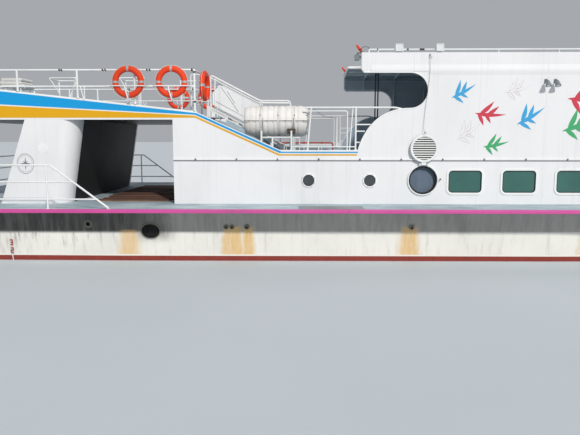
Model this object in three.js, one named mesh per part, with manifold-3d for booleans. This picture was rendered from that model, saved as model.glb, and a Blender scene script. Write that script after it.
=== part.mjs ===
// A 38 m passenger ferry, whole, as separate solids with its rails, rafts, doors, hatches and running gear.
// Millimetres. +X is forward, +Y is to port, +Z is up.
// The origin is on the centreline at the waterline, amidships.
import * as THREE from 'three';
import { mergeVertices } from 'three/addons/utils/BufferGeometryUtils.js';
import Module from 'manifold-3d';

const wasm = await Module();
wasm.setup();

// Driving dimensions.
const gap = 0.3;
const running = 8;
const seat = 0.5;
const sternX = -19000;
const deckZ = 1250;
const deckPlate = 74;
const wallY = 2750;
const wallThick = 80;
const innerY = wallY - wallThick - gap;
const midZ = 2300;
const midPlate = 75;
const coamingZ = 2480;
const sunUnderZ = 3163;
const sunZ = 3240;
const sunForeX = -11894;
const sunForeTopZ = 3319;
const sunAftX = -18000;
const bulwarkRise = 0.1103;
const ceilingZ = 4215;
const roofZ = 4310;
const parapetZ = 4632;
const passageForeX = -12460;
const slopeFootX = -10030;
const frontFootX = 8900;
const frontRake = 0.54;
const verandahForeX = -5450;
const saloonFloorZ = 300;
const tubeRadius = 21;

// Paints and metals.
const paint = (color, roughness = 0.45, metalness = 0) => (
  new THREE.MeshStandardMaterial({ color, roughness, metalness }));
const white = paint(0xe4e8ec);
const hullWhite = paint(0xdedbcf, 0.5);
const deckBlue = paint(0xa9bcc6, 0.7);
const darkPanel = paint(0x3c4850, 0.6);
const orange = paint(0xe2482a, 0.55);
const canisterWhite = paint(0xd9d6cb, 0.6);
const bronze = paint(0xa8793f, 0.35, 1);
const steel = paint(0x8c9196, 0.4, 1);
const engineGreen = paint(0x4c6b5c, 0.5);
const seatBlue = paint(0x2f4f86, 0.8);
const antifoul = paint(0x8a3027, 0.7);

const ferry = new THREE.Group();

function toSolid(geometry) {
  const bare = geometry.clone();
  bare.deleteAttribute('normal');
  bare.deleteAttribute('uv');
  const merged = mergeVertices(bare, 1e-3);
  return new wasm.Manifold(new wasm.Mesh({
    numProp: 3,
    vertProperties: new Float32Array(merged.attributes.position.array),
    triVerts: new Uint32Array(merged.index.array),
  }));
}

const solidOf = (shape) => (shape.isBufferGeometry ? toSolid(shape) : shape);

function join(shapes) {
  return shapes.map(solidOf).reduce((a, b) => a.add(b));
}

function cut(base, shapes) {
  return shapes.map(solidOf).reduce((a, b) => a.subtract(b), solidOf(base));
}

function place(name, shape, material, at = [0, 0, 0], parent = ferry) {
  const data = solidOf(shape).getMesh();
  const geometry = new THREE.BufferGeometry();
  geometry.setAttribute('position', new THREE.BufferAttribute(data.vertProperties, 3));
  geometry.setIndex(new THREE.BufferAttribute(data.triVerts, 1));
  geometry.computeVertexNormals();
  const mesh = new THREE.Mesh(geometry, material);
  mesh.name = name;
  mesh.position.set(...at);
  parent.add(mesh);
  return mesh;
}

// A block from its two corners.
function block(x0, x1, y0, y1, z0, z1) {
  const geometry = new THREE.BoxGeometry(x1 - x0, y1 - y0, z1 - z0);
  return geometry.translate((x0 + x1) / 2, (y0 + y1) / 2, (z0 + z1) / 2);
}

function asShape(outline) {
  if (outline instanceof THREE.Shape) return outline;
  return new THREE.Shape(outline.map(([u, v]) => new THREE.Vector2(u, v)));
}

// A side-view outline of (x, z) points, or a shape, made solid across the boat from y0 to y1.
function across(outline, y0, y1, curveSegments = 10) {
  const shape = asShape(outline);
  const geometry = new THREE.ExtrudeGeometry(shape, { depth: y1 - y0, bevelEnabled: false, curveSegments });
  return geometry.rotateX(Math.PI / 2).translate(0, y1, 0);
}

// A plan-view outline of (x, y) points, or a shape, made solid from z0 up to z1.
function upright(outline, z0, z1, curveSegments = 8) {
  const shape = asShape(outline);
  const geometry = new THREE.ExtrudeGeometry(shape, { depth: z1 - z0, bevelEnabled: false, curveSegments });
  return geometry.translate(0, 0, z0);
}

// An end-view outline of (y, z) points made solid along the boat from x0 to x1.
function lengthways(outline, x0, x1) {
  const geometry = new THREE.ExtrudeGeometry(asShape(outline), { depth: x1 - x0, bevelEnabled: false });
  const turn = new THREE.Matrix4().set(0, 0, 1, x0, 1, 0, 0, 0, 0, 1, 0, 0, 0, 0, 0, 1);
  return geometry.applyMatrix4(turn);
}

// A round bar between two points.
function bar(from, to, radius = tubeRadius, sides = 5) {
  const a = new THREE.Vector3(...from);
  const b = new THREE.Vector3(...to);
  const along = b.clone().sub(a);
  const geometry = new THREE.CylinderGeometry(radius, radius, along.length(), sides);
  const turn = new THREE.Quaternion().setFromUnitVectors(new THREE.Vector3(0, 1, 0), along.normalize());
  return geometry.applyQuaternion(turn).translate(...a.add(b).multiplyScalar(0.5).toArray());
}

function barRun(points, radius = tubeRadius) {
  return points.slice(1).map((p, i) => bar(points[i], p, radius));
}

// A ring of (radius, x) points turned about an axis along X.
function turnedAlongX(profile, sides) {
  const geometry = new THREE.LatheGeometry(profile.map(([r, x]) => new THREE.Vector2(r, x)), sides);
  return geometry.rotateZ(-Math.PI / 2);
}

// A skin through cross-sections, each a list of (y, z) points at its own x, closed at both ends.
function loft(sections) {
  const count = sections[0].ring.length;
  const points = sections.flatMap(({ x, ring }) => ring.map(([y, z]) => [x, y, z]));
  const faces = [];
  for (let s = 0; s < sections.length - 1; s += 1) {
    for (let i = 0; i < count; i += 1) {
      const j = (i + 1) % count;
      const [a, b, c, d] = [s * count + i, s * count + j, (s + 1) * count + j, (s + 1) * count + i];
      faces.push([a, b, c], [a, c, d]);
    }
  }
  const endFaces = ({ ring }) => (
    THREE.ShapeUtils.triangulateShape(ring.map(([y, z]) => new THREE.Vector2(y, z)), []));
  const last = (sections.length - 1) * count;
  for (const [a, b, c] of endFaces(sections[0])) faces.push([a, c, b]);
  for (const [a, b, c] of endFaces(sections.at(-1))) faces.push([last + a, last + b, last + c]);
  const geometry = new THREE.BufferGeometry();
  geometry.setAttribute('position', new THREE.Float32BufferAttribute(points.flat(), 3));
  geometry.setIndex(faces.flat());
  return geometry;
}

// Hull and main deck. Stations, from the transom to the stem.
const stations = [
  // x, keel z, chine half-breadth, chine z, side half-breadth, deck half-breadth, deck z
  [sternX, -700, 2850, -250, 3050, 3450, deckZ],
  [-17500, -790, 3050, -280, 3300, 3900, deckZ],
  [-12000, -1150, 3120, -350, 3300, 3900, deckZ],
  [-4000, -1400, 3080, -300, 3300, 3900, deckZ],
  [4000, -1500, 2850, -130, 3260, 3900, deckZ],
  [9500, -1500, 2200, 180, 3050, 3680, deckZ],
  [13000, -1420, 1480, 450, 2450, 2980, 1500],
  [16000, -1100, 760, 800, 1560, 1880, 1850],
  [18000, -150, 260, 1250, 640, 800, 2150],
  [19000, 1450, 70, 1800, 110, 160, 2350],
];
const keelHalf = 110;
const keelFoot = -1700;

function stationValue(x, column) {
  const next = Math.max(1, stations.findIndex((row) => row[0] >= x));
  const [a, b] = [stations[next - 1], stations[next]];
  return a[column] + (b[column] - a[column]) * ((x - a[0]) / (b[0] - a[0]));
}
const deckEdgeAt = (x) => stationValue(x, 5);
const deckHeightAt = (x) => stationValue(x, 6);

const hullSections = stations.map(([x, keel, chineY, chineZ, sideY, , deck]) => {
  const half = Math.min(keelHalf, chineY * 0.6);
  const top = deck - deckPlate - gap;
  const bottom = [[-chineY, chineZ], [-half, keel], [half, keel], [chineY, chineZ]];
  return { x, ring: [...bottom, [sideY, top], [-sideY, top]] };
});
const deckSections = stations.map(([x, , , , , deckY, deck]) => (
  { x, ring: [[-deckY, deck - deckPlate], [deckY, deck - deckPlate], [deckY, deck], [-deckY, deck]] }));

// Spaces in the hull: the sunk saloon, the engine room aft and the forepeak store.
const saloon = { x0: -12300, x1: 6500, y: 2250 };
const engineRoom = { x0: -17600, x1: -13100, y: 1700, floor: -400 };
const forepeak = { x0: 12900, x1: 14300, y: 620, floor: 500 };
const engineHatch = { x0: -17350, x1: -16550, y: 420 };
const bowHatch = { x0: 13250, x1: 13950, y: 330, top: 1760 };

// Running gear: two shafts, each leaning down aft, with a propeller and a rudder behind it.
const shaftY = 1500;
const shaftLean = THREE.MathUtils.degToRad(7);
const propeller = { x: -16750, z: -1150, radius: 450 };
const shaftRadius = 45;
const rudder = { x: -17750, stock: 50, stockTop: -530, length: 700, top: -700, bottom: -1560 };
const alongShaft = (x) => propeller.z + (x - propeller.x) * Math.tan(shaftLean);
const sternTube = { aftX: -14300, foreX: -12600, radius: 95 };
const shaftStart = sternTube.aftX + 300;
const sides = { starboard: -1, port: 1 };
// A stretch of the shaft's own line between two places along the boat.
const onShaft = (x0, x1, side, radius, count) => (
  bar([x0, side * shaftY, alongShaft(x0)], [x1, side * shaftY, alongShaft(x1)], radius, count));
// A stretch of the rudder stock's line between two heights.
const onStock = (z0, z1, side, radius) => (
  bar([rudder.x, side * shaftY, z0], [rudder.x, side * shaftY, z1], radius, 12));

const hullBody = join([
  loft(hullSections),
  ...Object.values(sides).flatMap((side) => [
    onShaft(sternTube.aftX, sternTube.foreX, side, sternTube.radius, 12),
    onStock(-660, -430, side, 110),
  ]),
  across([[-13500, -1000], [-12500, keelFoot], [7000, keelFoot], [8500, -1450]], -90, 90),
]);
place('hull', cut(hullBody, [
  block(saloon.x0, saloon.x1, -saloon.y, saloon.y, saloonFloorZ, deckZ),
  block(engineRoom.x0, engineRoom.x1, -engineRoom.y, engineRoom.y, engineRoom.floor, deckZ),
  block(forepeak.x0, forepeak.x1, -forepeak.y, forepeak.y, forepeak.floor, 2000),
  ...Object.values(sides).flatMap((side) => [
    onShaft(sternTube.aftX - 50, shaftStart + seat, side, shaftRadius + 6, 12),
    onStock(rudder.top, rudder.stockTop + seat, side, rudder.stock + 4),
  ]),
]), hullWhite);

// Mooring bitts: places on the main deck, each a pair of posts on a foot.
const bitts = [
  // x, y
  [-18300, 2900],
  [-2200, 3500],
  [9800, 3250],
  [15000, 1750],
];
const bittTopRise = 330;
const deckFittings = bitts.flatMap(([x, y]) => Object.values(sides).flatMap((side) => {
  const z = deckHeightAt(x) - 20;
  return [
    block(x - 330, x + 330, side * y - 110, side * y + 110, z, z + 60),
    bar([x - 190, side * y, z + 20], [x - 190, side * y, z + bittTopRise], 80, 12),
    bar([x + 190, side * y, z + 20], [x + 190, side * y, z + bittTopRise], 80, 12),
  ];
}));

// A hatch coaming standing on the deck round an opening.
function coaming({ x0, x1, y }, top, from) {
  const rim = 50;
  return block(x0 - rim, x1 + rim, -y - rim, y + rim, from, top);
}
const engineHatchTop = deckZ + 180;
const windlassPad = { x0: 15500, x1: 16500, y: 550, top: 1990 };
const gangwayPad = { x0: -9600, x1: -8200, y0: 3180, y1: 3860, top: deckZ + 6 };
place('main_deck', cut(join([
  loft(deckSections),
  ...deckFittings,
  coaming(engineHatch, engineHatchTop, deckZ - 10),
  coaming(bowHatch, bowHatch.top, 1450),
  block(windlassPad.x0, windlassPad.x1, -windlassPad.y, windlassPad.y, 1780, windlassPad.top),
]), [
  toSolid(loft(hullSections)).translate(0, 0, gap / 2),
  block(saloon.x0, saloon.x1, -saloon.y, saloon.y, 0, deckZ + 100),
  block(engineHatch.x0, engineHatch.x1, -engineHatch.y, engineHatch.y, 0, 2000),
  block(bowHatch.x0, bowHatch.x1, -bowHatch.y, bowHatch.y, 0, 2500),
]), deckBlue);
for (const [name, side] of Object.entries(sides)) {
  const { x0, x1, y0, y1, top } = gangwayPad;
  const [near, far] = side > 0 ? [y0, y1] : [-y1, -y0];
  place(`gangway_plate_${name}`, block(x0, x1, near, far, deckZ + gap, top), steel);
}

// Hatch lids, each hinged on its forward edge.
function lid({ x0, x1, y }, top) {
  const over = 65;
  return join([
    block(x0 - over, x1 + over, -y - over, y + over, top + gap, top + 40),
    block(x1 + over - 10, x1 + over + 30, -200, -120, top + gap, top + 36),
    block(x1 + over - 10, x1 + over + 30, 120, 200, top + gap, top + 36),
    bar([x0 + 60, -90, top + 90], [x0 + 60, 90, top + 90], 12),
    bar([x0 + 60, -90, top + 20], [x0 + 60, -90, top + 92], 12),
    bar([x0 + 60, 90, top + 20], [x0 + 60, 90, top + 92], 12),
  ]);
}
place('engine_hatch_lid', lid(engineHatch, engineHatchTop), deckBlue);
place('bow_hatch_lid', lid(bowHatch, bowHatch.top), deckBlue);

// Windlass, on its pad.
const windlassZ = windlassPad.top + gap;
place('windlass', join([
  block(15650, 16350, -330, 330, windlassZ, windlassZ + 70),
  block(15800, 16200, -150, 150, windlassZ + 60, windlassZ + 470),
  bar([16000, -420, windlassZ + 300], [16000, 420, windlassZ + 300], 60, 12),
  bar([16000, -420, windlassZ + 300], [16000, -250, windlassZ + 300], 150, 16),
  bar([16000, 250, windlassZ + 300], [16000, 420, windlassZ + 300], 150, 16),
]), steel);

// Side walls. Each is one plate with its windows, vent opening and the verandah's rounded bite.
const portholes = { xs: [-9377, -7984], z: 1787, radius: 135 };
const lowerWindows = { x0: -6200, width: 760, pitch: 1220, count: 10, z0: 1510, z1: 2020, round: 90 };
const upperWindows = { x0: -2300, width: 1150, pitch: 1400, count: 6, z0: 2980, z1: 3760, round: 130 };
const vent = { x: -6780, z: 1800, radius: 325, coverRadius: 312, hingeZ: 2157, standOff: 70, thick: 60 };
const bite = { x: -7105, z: 3802, radius: 398 };
const knuckleZ = 2265;

function wallShape() {
  const shape = new THREE.Shape();
  const top = ceilingZ - gap;
  shape.moveTo(passageForeX, deckZ + gap);
  shape.lineTo(frontFootX, deckZ + gap);
  shape.lineTo(frontFootX - (top - deckZ) * frontRake, top);
  shape.lineTo(bite.x, top);
  shape.lineTo(bite.x, bite.z + bite.radius);
  shape.absarc(bite.x, bite.z, bite.radius, Math.PI / 2, -Math.PI / 2, true);
  shape.bezierCurveTo(-7640, 3405, -8060, 3130, -8256, coamingZ);
  shape.lineTo(slopeFootX, coamingZ);
  shape.lineTo(sunForeX + gap, sunForeTopZ);
  shape.lineTo(sunForeX + gap, sunUnderZ - gap);
  shape.lineTo(passageForeX, sunUnderZ - gap);
  shape.closePath();
  return shape;
}

function roundedRect(x0, x1, z0, z1, radius) {
  const shape = new THREE.Shape();
  shape.moveTo(x0 + radius, z0);
  shape.lineTo(x1 - radius, z0);
  shape.absarc(x1 - radius, z0 + radius, radius, -Math.PI / 2, 0, false);
  shape.lineTo(x1, z1 - radius);
  shape.absarc(x1 - radius, z1 - radius, radius, 0, Math.PI / 2, false);
  shape.lineTo(x0 + radius, z1);
  shape.absarc(x0 + radius, z1 - radius, radius, Math.PI / 2, Math.PI, false);
  shape.lineTo(x0, z0 + radius);
  shape.absarc(x0 + radius, z0 + radius, radius, Math.PI, Math.PI * 1.5, false);
  return shape;
}

function windowCuts({ x0, width, pitch, count, z0, z1, round }, y0, y1) {
  return Array.from({ length: count }, (_, i) => (
    across(roundedRect(x0 + i * pitch, x0 + i * pitch + width, z0, z1, round), y0, y1, 2)));
}

for (const [name, side] of Object.entries(sides)) {
  const [y0, y1] = side > 0 ? [wallY - wallThick, wallY] : [-wallY, -wallY + wallThick];
  const outer = side * wallY;
  const through = [y0 - 200, y1 + 200];
  // A round bar straight through the wall's plane.
  const acrossWall = (x, z, radius, count, [from, to] = through) => (
    bar([x, from, z], [x, to, z], radius, count));
  const hingeY = outer + side * vent.standOff;
  const frontAtKnuckle = frontFootX - (knuckleZ - deckZ) * frontRake - 40;
  const lugs = [-1, 1].map((end) => {
    const x = vent.x + end * (70 + 18 + seat);
    const [near, far] = [outer - side * 20, hingeY + side * 22].sort((a, b) => a - b);
    return block(x - 18, x + 18, near, far, vent.hingeZ - 22, vent.hingeZ + 22);
  });
  const rim = acrossWall(vent.x, vent.z, vent.radius + 22, 24, [outer - side * 30, outer + side * 32]);
  const body = join([
    across(wallShape(), y0, y1, 12),
    block(passageForeX, frontAtKnuckle, outer - 30, outer + 30, knuckleZ - 16, knuckleZ + 16),
    rim,
    ...lugs,
  ]);
  place(`wall_${name}`, cut(body, [
    ...portholes.xs.map((x) => acrossWall(x, portholes.z, portholes.radius, 12)),
    acrossWall(vent.x, vent.z, vent.radius, 24),
    ...windowCuts(lowerWindows, ...through),
    ...windowCuts(upperWindows, ...through),
  ]), white);

  // The round vent cover, shown swung up on its hinge above the opening.
  const rise = 357;
  const tongueReach = rise - vent.coverRadius + 40;
  const cover = cut(join([
    bar([0, -vent.thick / 2, rise], [0, vent.thick / 2, rise], vent.coverRadius, 24),
    block(-70, 70, -16, 16, 0, tongueReach),
    bar([-70, 0, 0], [70, 0, 0], 16, 8),
    block(-24, 24, -14, 14, rise + vent.coverRadius - 12, rise + vent.coverRadius + 45),
  ]), Array.from({ length: 9 }, (_, i) => {
    const z = rise - 236 + i * 59;
    const half = Math.sqrt((vent.coverRadius - 32) ** 2 - (z - rise) ** 2) - 6;
    return block(-half, half, -vent.thick, vent.thick, z - 15, z + 15);
  }));
  place(`vent_cover_${name}`, cover, white, [vent.x, hingeY, vent.hingeZ]);
}

// Middle deck, with the sloped plate that climbs aft to the sun deck.
const frontAt = (z) => frontFootX - (z - deckZ) * frontRake;
const screenThick = 95;
place('mid_deck', across([
  [sunForeX + gap, sunZ - midPlate],
  [slopeFootX - 70, midZ - midPlate],
  [frontAt(midZ - midPlate) - screenThick - 90, midZ - midPlate],
  [frontAt(midZ - midPlate) - screenThick - 90, midZ],
  [slopeFootX - 40, midZ],
  [sunForeX + gap, sunZ],
], -innerY, innerY), deckBlue);

// Front screen, raked, with the wheelhouse windows.
const frontWindows = { z0: 3000, z1: 3850, half: 430, pitch: 1010, count: 5 };
const screenOutline = [
  [frontAt(deckZ) - screenThick, deckZ + gap],
  [frontAt(deckZ) - gap, deckZ + gap],
  [frontAt(ceilingZ) - gap, ceilingZ - gap],
  [frontAt(ceilingZ) - screenThick, ceilingZ - gap],
];
place('front_screen', cut(across(screenOutline, -innerY, innerY), Array.from(
  { length: frontWindows.count },
  (_, i) => {
    const y = (i - (frontWindows.count - 1) / 2) * frontWindows.pitch;
    return block(4000, 9500, y - frontWindows.half, y + frontWindows.half, frontWindows.z0, frontWindows.z1);
  },
)), white);

// Cross bulkheads with their door openings. Two have a door, hung on the port edge, that swings aft.
const doorHalf = 400;
const doorSill = 60;
const bulkheadThick = 70;
const hingeOut = 18;
const barrel = { radius: 12, length: 120, from: 300 };
const doors = {
  saloon: { x: passageForeX + gap, floor: deckZ, head: 3080, top: sunUnderZ - gap, door: true },
  verandah: { x: verandahForeX, floor: midZ, head: 4120, top: ceilingZ - gap, door: true },
  wheelhouse: { x: 4300, floor: midZ, head: 4120, top: ceilingZ - gap, door: false },
};
for (const [name, { x, floor, head, top, door }] of Object.entries(doors)) {
  const foot = floor + doorSill + running;
  const height = head - foot - running;
  const barrels = [barrel.from, height - barrel.from - barrel.length];
  const hingeX = x - hingeOut;
  const plate = cut(block(x, x + bulkheadThick, -innerY, innerY, floor + gap, top), [
    block(x - 50, x + 100, -doorHalf, doorHalf, floor + doorSill, head)]);
  const lugs = door ? barrels.flatMap((z) => {
    const [z0, z1] = [foot + z - 60, foot + z - seat];
    return [
      bar([hingeX, doorHalf, z0], [hingeX, doorHalf, z1], barrel.radius, 8),
      block(hingeX - 4, x + 10, doorHalf + 4, doorHalf + 60, z0, z1),
      block(hingeX - 4, hingeX + 4, doorHalf, doorHalf + 10, z0, z1),
    ];
  }) : [];
  place(`${name}_bulkhead`, join([plate, ...lugs]), darkPanel);
  if (!door) continue;
  const edge = 2 * doorHalf - running;
  const leaf = cut(join([
    block(hingeOut, hingeOut + 44, -edge, -running, 0, height),
    ...barrels.flatMap((z) => [
      bar([0, 0, z], [0, 0, z + barrel.length], barrel.radius, 8),
      block(-4, 4, -20, 0, z + 5, z + barrel.length - 5),
      block(-4, hingeOut + 5, -70, -18, z + 5, z + barrel.length - 5),
    ]),
    bar([-26, -edge + 90, height * 0.52], [hingeOut + 5, -edge + 90, height * 0.52], 12, 8),
    bar([-26, -edge + 84, height * 0.52], [-26, -edge + 190, height * 0.52], 12, 8),
  ]), [block(-100, 100, -edge + 170, -running - 170, height * 0.58, height - 160)]);
  place(`${name}_door`, leaf, white, [hingeX, doorHalf, foot]);
}

// Aft casings, one each side, with a round forward corner. They lean aft downward, and so does the bulkhead
// that closes the cross passage between them.
const casing = {
  foreTop: -14630,
  lean: 0.165,
  aftPlan: -16800,
  aftFoot: -16480,
  aftTop: -15832,
  inner: 2300,
};
const casingRound = 400;
const casingTop = sunUnderZ - gap;
const casingFore = (z) => casing.foreTop + (z - sunUnderZ) * casing.lean;
for (const [name, side] of Object.entries(sides)) {
  const { foreTop, lean, aftPlan, aftFoot, aftTop, inner } = casing;
  const plan = new THREE.Shape();
  plan.moveTo(aftPlan, side * inner);
  plan.lineTo(foreTop, side * inner);
  plan.lineTo(foreTop, side * (wallY - casingRound));
  plan.absarc(foreTop - casingRound, side * (wallY - casingRound), casingRound,
    0, side * Math.PI / 2, side < 0);
  plan.lineTo(aftPlan, side * wallY);
  plan.closePath();
  const leaning = new THREE.Matrix4().set(1, 0, lean, -lean * sunUnderZ, 0, 1, 0, 0, 0, 0, 1, 0, 0, 0, 0, 1);
  const slant = (aftTop - aftFoot) / (sunUnderZ - deckZ);
  place(`casing_${name}`, cut(upright(plan, deckZ + gap, casingTop, 12).applyMatrix4(leaning), [
    across([
      [aftFoot - slant * 200, deckZ - 200],
      [aftTop + slant * 200, sunUnderZ + 200],
      [aftPlan - 800, sunUnderZ + 200],
      [aftPlan - 800, deckZ - 200],
    ], -wallY - 100, wallY + 100),
  ]), white);
}
const passageHalf = casing.inner - gap;
place('passage_bulkhead', across([
  [casingFore(deckZ) - 70, deckZ + gap],
  [casingFore(deckZ) - 10, deckZ + gap],
  [casingFore(casingTop) - 10, casingTop],
  [casingFore(casingTop) - 70, casingTop],
], -passageHalf, passageHalf), darkPanel);

// Sun deck: floor plate, side bulwarks that taper forward, the after bulwark and two posts below it.
const bulwarkThick = 60;
const bulwarkTop = (x) => sunForeTopZ + (sunForeX - x) * bulwarkRise;
const sunPosts = [[-17700, -2550], [-17700, 2550]];
place('sun_deck', join([
  block(sunAftX, sunForeX, -wallY, wallY, sunUnderZ, sunZ),
  ...Object.values(sides).map((side) => {
    const [y0, y1] = side > 0 ? [wallY - bulwarkThick, wallY] : [-wallY, -wallY + bulwarkThick];
    return across([
      [sunAftX, sunUnderZ],
      [sunForeX, sunUnderZ],
      [sunForeX, sunForeTopZ],
      [sunAftX, bulwarkTop(sunAftX)],
    ], y0, y1);
  }),
  block(sunAftX, sunAftX + bulwarkThick, -wallY, wallY, sunUnderZ, bulwarkTop(sunAftX)),
  ...sunPosts.map(([x, y]) => bar([x, y, deckZ + gap], [x, y, sunUnderZ + 30], 60, 12)),
]), white);

// Roof: a slab with a parapet over the cabins. Over the verandah it carries on aft at the parapet's height,
// as cambered plate between two side panels, with a deep rounded notch cut in from its after edge.
const wing = { aft: -8190, crown: 1250, crownZ: 4710, edgeZ: 4595, topZ: 4785, panel: 60, corner: 90 };
const notchDepth = 1500;
const parapetThick = 60;
const roofForeX = frontAt(ceilingZ) + 180;
const roofOutline = [
  [verandahForeX, ceilingZ],
  [roofForeX, ceilingZ],
  [roofForeX, roofZ - 60],
  [roofForeX - 120, parapetZ],
  [verandahForeX, parapetZ],
];
const wellFore = roofForeX - 190;
const wellHalf = wallY - parapetThick;
const cabinRoof = cut(across(roofOutline, -wallY, wallY), [
  block(verandahForeX + parapetThick, wellFore, -wellHalf, wellHalf, roofZ, parapetZ + 100),
]);
const wingInner = wallY - wing.panel;
const wingUnder = [
  [-wingInner, wing.edgeZ],
  [-wing.crown, wing.crownZ],
  [wing.crown, wing.crownZ],
  [wingInner, wing.edgeZ],
];
const wingOver = [
  [wallY, parapetZ],
  [wallY - 50, parapetZ],
  [wing.crown, wing.topZ],
  [-wing.crown, wing.topZ],
  [50 - wallY, parapetZ],
  [-wallY, parapetZ],
];
const notch = new THREE.Shape();
notch.moveTo(wing.aft - 50, -wing.crown);
notch.lineTo(wing.aft + 50, -wing.crown);
notch.bezierCurveTo(wing.aft + notchDepth * 1.3, -wing.crown, wing.aft + notchDepth * 1.3, wing.crown,
  wing.aft + 50, wing.crown);
notch.lineTo(wing.aft - 50, wing.crown);
notch.closePath();
const wingCorner = new THREE.Shape();
wingCorner.moveTo(wing.aft - 10, ceilingZ - 10);
wingCorner.lineTo(wing.aft + wing.corner, ceilingZ - 10);
wingCorner.lineTo(wing.aft + wing.corner, ceilingZ);
wingCorner.absarc(wing.aft + wing.corner, ceilingZ + wing.corner, wing.corner, -Math.PI / 2, -Math.PI, true);
wingCorner.lineTo(wing.aft - 10, ceilingZ + wing.corner);
wingCorner.closePath();
const verandahRoof = cut(lengthways([
  [-wallY, ceilingZ],
  [-wingInner, ceilingZ],
  ...wingUnder,
  [wingInner, ceilingZ],
  [wallY, ceilingZ],
  ...wingOver,
], wing.aft, verandahForeX + parapetThick), [
  upright(notch, ceilingZ, wing.topZ + 100, 8),
  across(wingCorner, -wallY - 50, wallY + 50, 4),
]);
place('roof', join([
  cabinRoof,
  verandahRoof,
  lengthways([
    [20 - wallY, ceilingZ],
    [wallY - 20, ceilingZ],
    [wallY - 20, wing.edgeZ + 15],
    [wing.crown, wing.crownZ + 30],
    [-wing.crown, wing.crownZ + 30],
    [20 - wallY, wing.edgeZ + 15],
  ], verandahForeX, verandahForeX + parapetThick),
]), white);

// Stair from the middle deck to the sun deck, on the starboard side, standing on the sloped plate.
// A plate closes its port side from the stringer up to just below the handrail, and the handrails run on
// level from the stair's foot to a post on the middle deck.
const stair = { y0: -1600, y1: -800, steps: 6, thick: 34, hand: 1100, under: 225, over: 335 };
const stairEnds = { aft: sunForeX + 40, fore: slopeFootX + 60, foot: 90 };
const stairHand = { top: sunForeX + 140, foot: slopeFootX - 520, level: 740 };
const slopeRun = slopeFootX - 40 - sunForeX;
const slopeRise = sunZ - midZ;
const slopeTop = (x) => sunZ - (x - sunForeX) * (slopeRise / slopeRun);
const alongSlopeTop = (x0, x1, rise0, rise1) => [
  [x0, slopeTop(x0) + rise0],
  [x0, slopeTop(x0) + rise1],
  [x1, slopeTop(x1) + rise1],
  [x1, slopeTop(x1) + rise0],
];
const stairForeFoot = [
  [stairEnds.fore - stairEnds.foot, midZ + 2 * gap],
  [stairEnds.fore, midZ + 2 * gap],
  [stairEnds.fore, slopeTop(stairEnds.fore) + stair.over],
  [stairEnds.fore - stairEnds.foot, slopeTop(stairEnds.fore - stairEnds.foot) + stair.over],
];
const treadPitch = slopeRun / (stair.steps + 1);
const tread = { back: 40, front: 160, low: 232, high: 262 };
const stairPlate = [
  [stairHand.top - 76, slopeTop(stairHand.top - 76) + 390],
  [stairHand.top - 76, slopeTop(stairHand.top - 76) + 690],
  [stairHand.top, slopeTop(stairHand.top) + 810],
  [stairHand.top + 55, slopeTop(stairHand.top + 55) + 890],
  [stairHand.top + 92, slopeTop(stairHand.top + 92) + 990],
  [stairHand.top + 200, slopeTop(stairHand.top + 200) + 1010],
  [stairHand.foot, slopeTop(stairHand.foot) + 1010],
  [stairHand.foot, slopeTop(stairHand.foot) + 375],
];
place('stair', join([
  ...[[stair.y0, stair.y0 + stair.thick], [stair.y1 - stair.thick, stair.y1]].flatMap(([y0, y1]) => [
    across(alongSlopeTop(stairEnds.aft, stairEnds.fore, stair.under, stair.over), y0, y1),
    across(alongSlopeTop(stairEnds.aft, stairEnds.aft + stairEnds.foot, 2 * gap, stair.over - 20), y0, y1),
    across(stairForeFoot, y0, y1),
  ]),
  block(stairEnds.aft, sunForeX + 1.45 * treadPitch, stair.y0, stair.y1, sunZ, sunZ + 27),
  ...Array.from({ length: stair.steps }, (_, i) => {
    const x = sunForeX + (i + 1.75) * treadPitch;
    const z = slopeTop(x);
    return block(x - tread.back, x + tread.front, stair.y0, stair.y1, z + tread.low, z + tread.high);
  }),
  ...[stair.y0 + 17, stair.y1 - 17].flatMap((y) => {
    const { top, foot, level } = stairHand;
    const levelZ = slopeTop(foot) + stair.hand;
    const end = foot + level;
    return [
      bar([foot - 18, y, levelZ], [end + 15, y, levelZ]),
      bar([end, y, Math.max(midZ, slopeTop(end - tubeRadius)) + gap], [end, y, levelZ + 12]),
      bar([top, y, slopeTop(top) + stair.hand], [foot, y, slopeTop(foot) + stair.hand]),
      ...[top, foot].map((x) => bar([x, y, slopeTop(x) + 240], [x, y, slopeTop(x) + stair.hand + 12])),
    ];
  }),
  across(stairPlate, stair.y1 - 25, stair.y1 - 9),
]), white);

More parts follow.
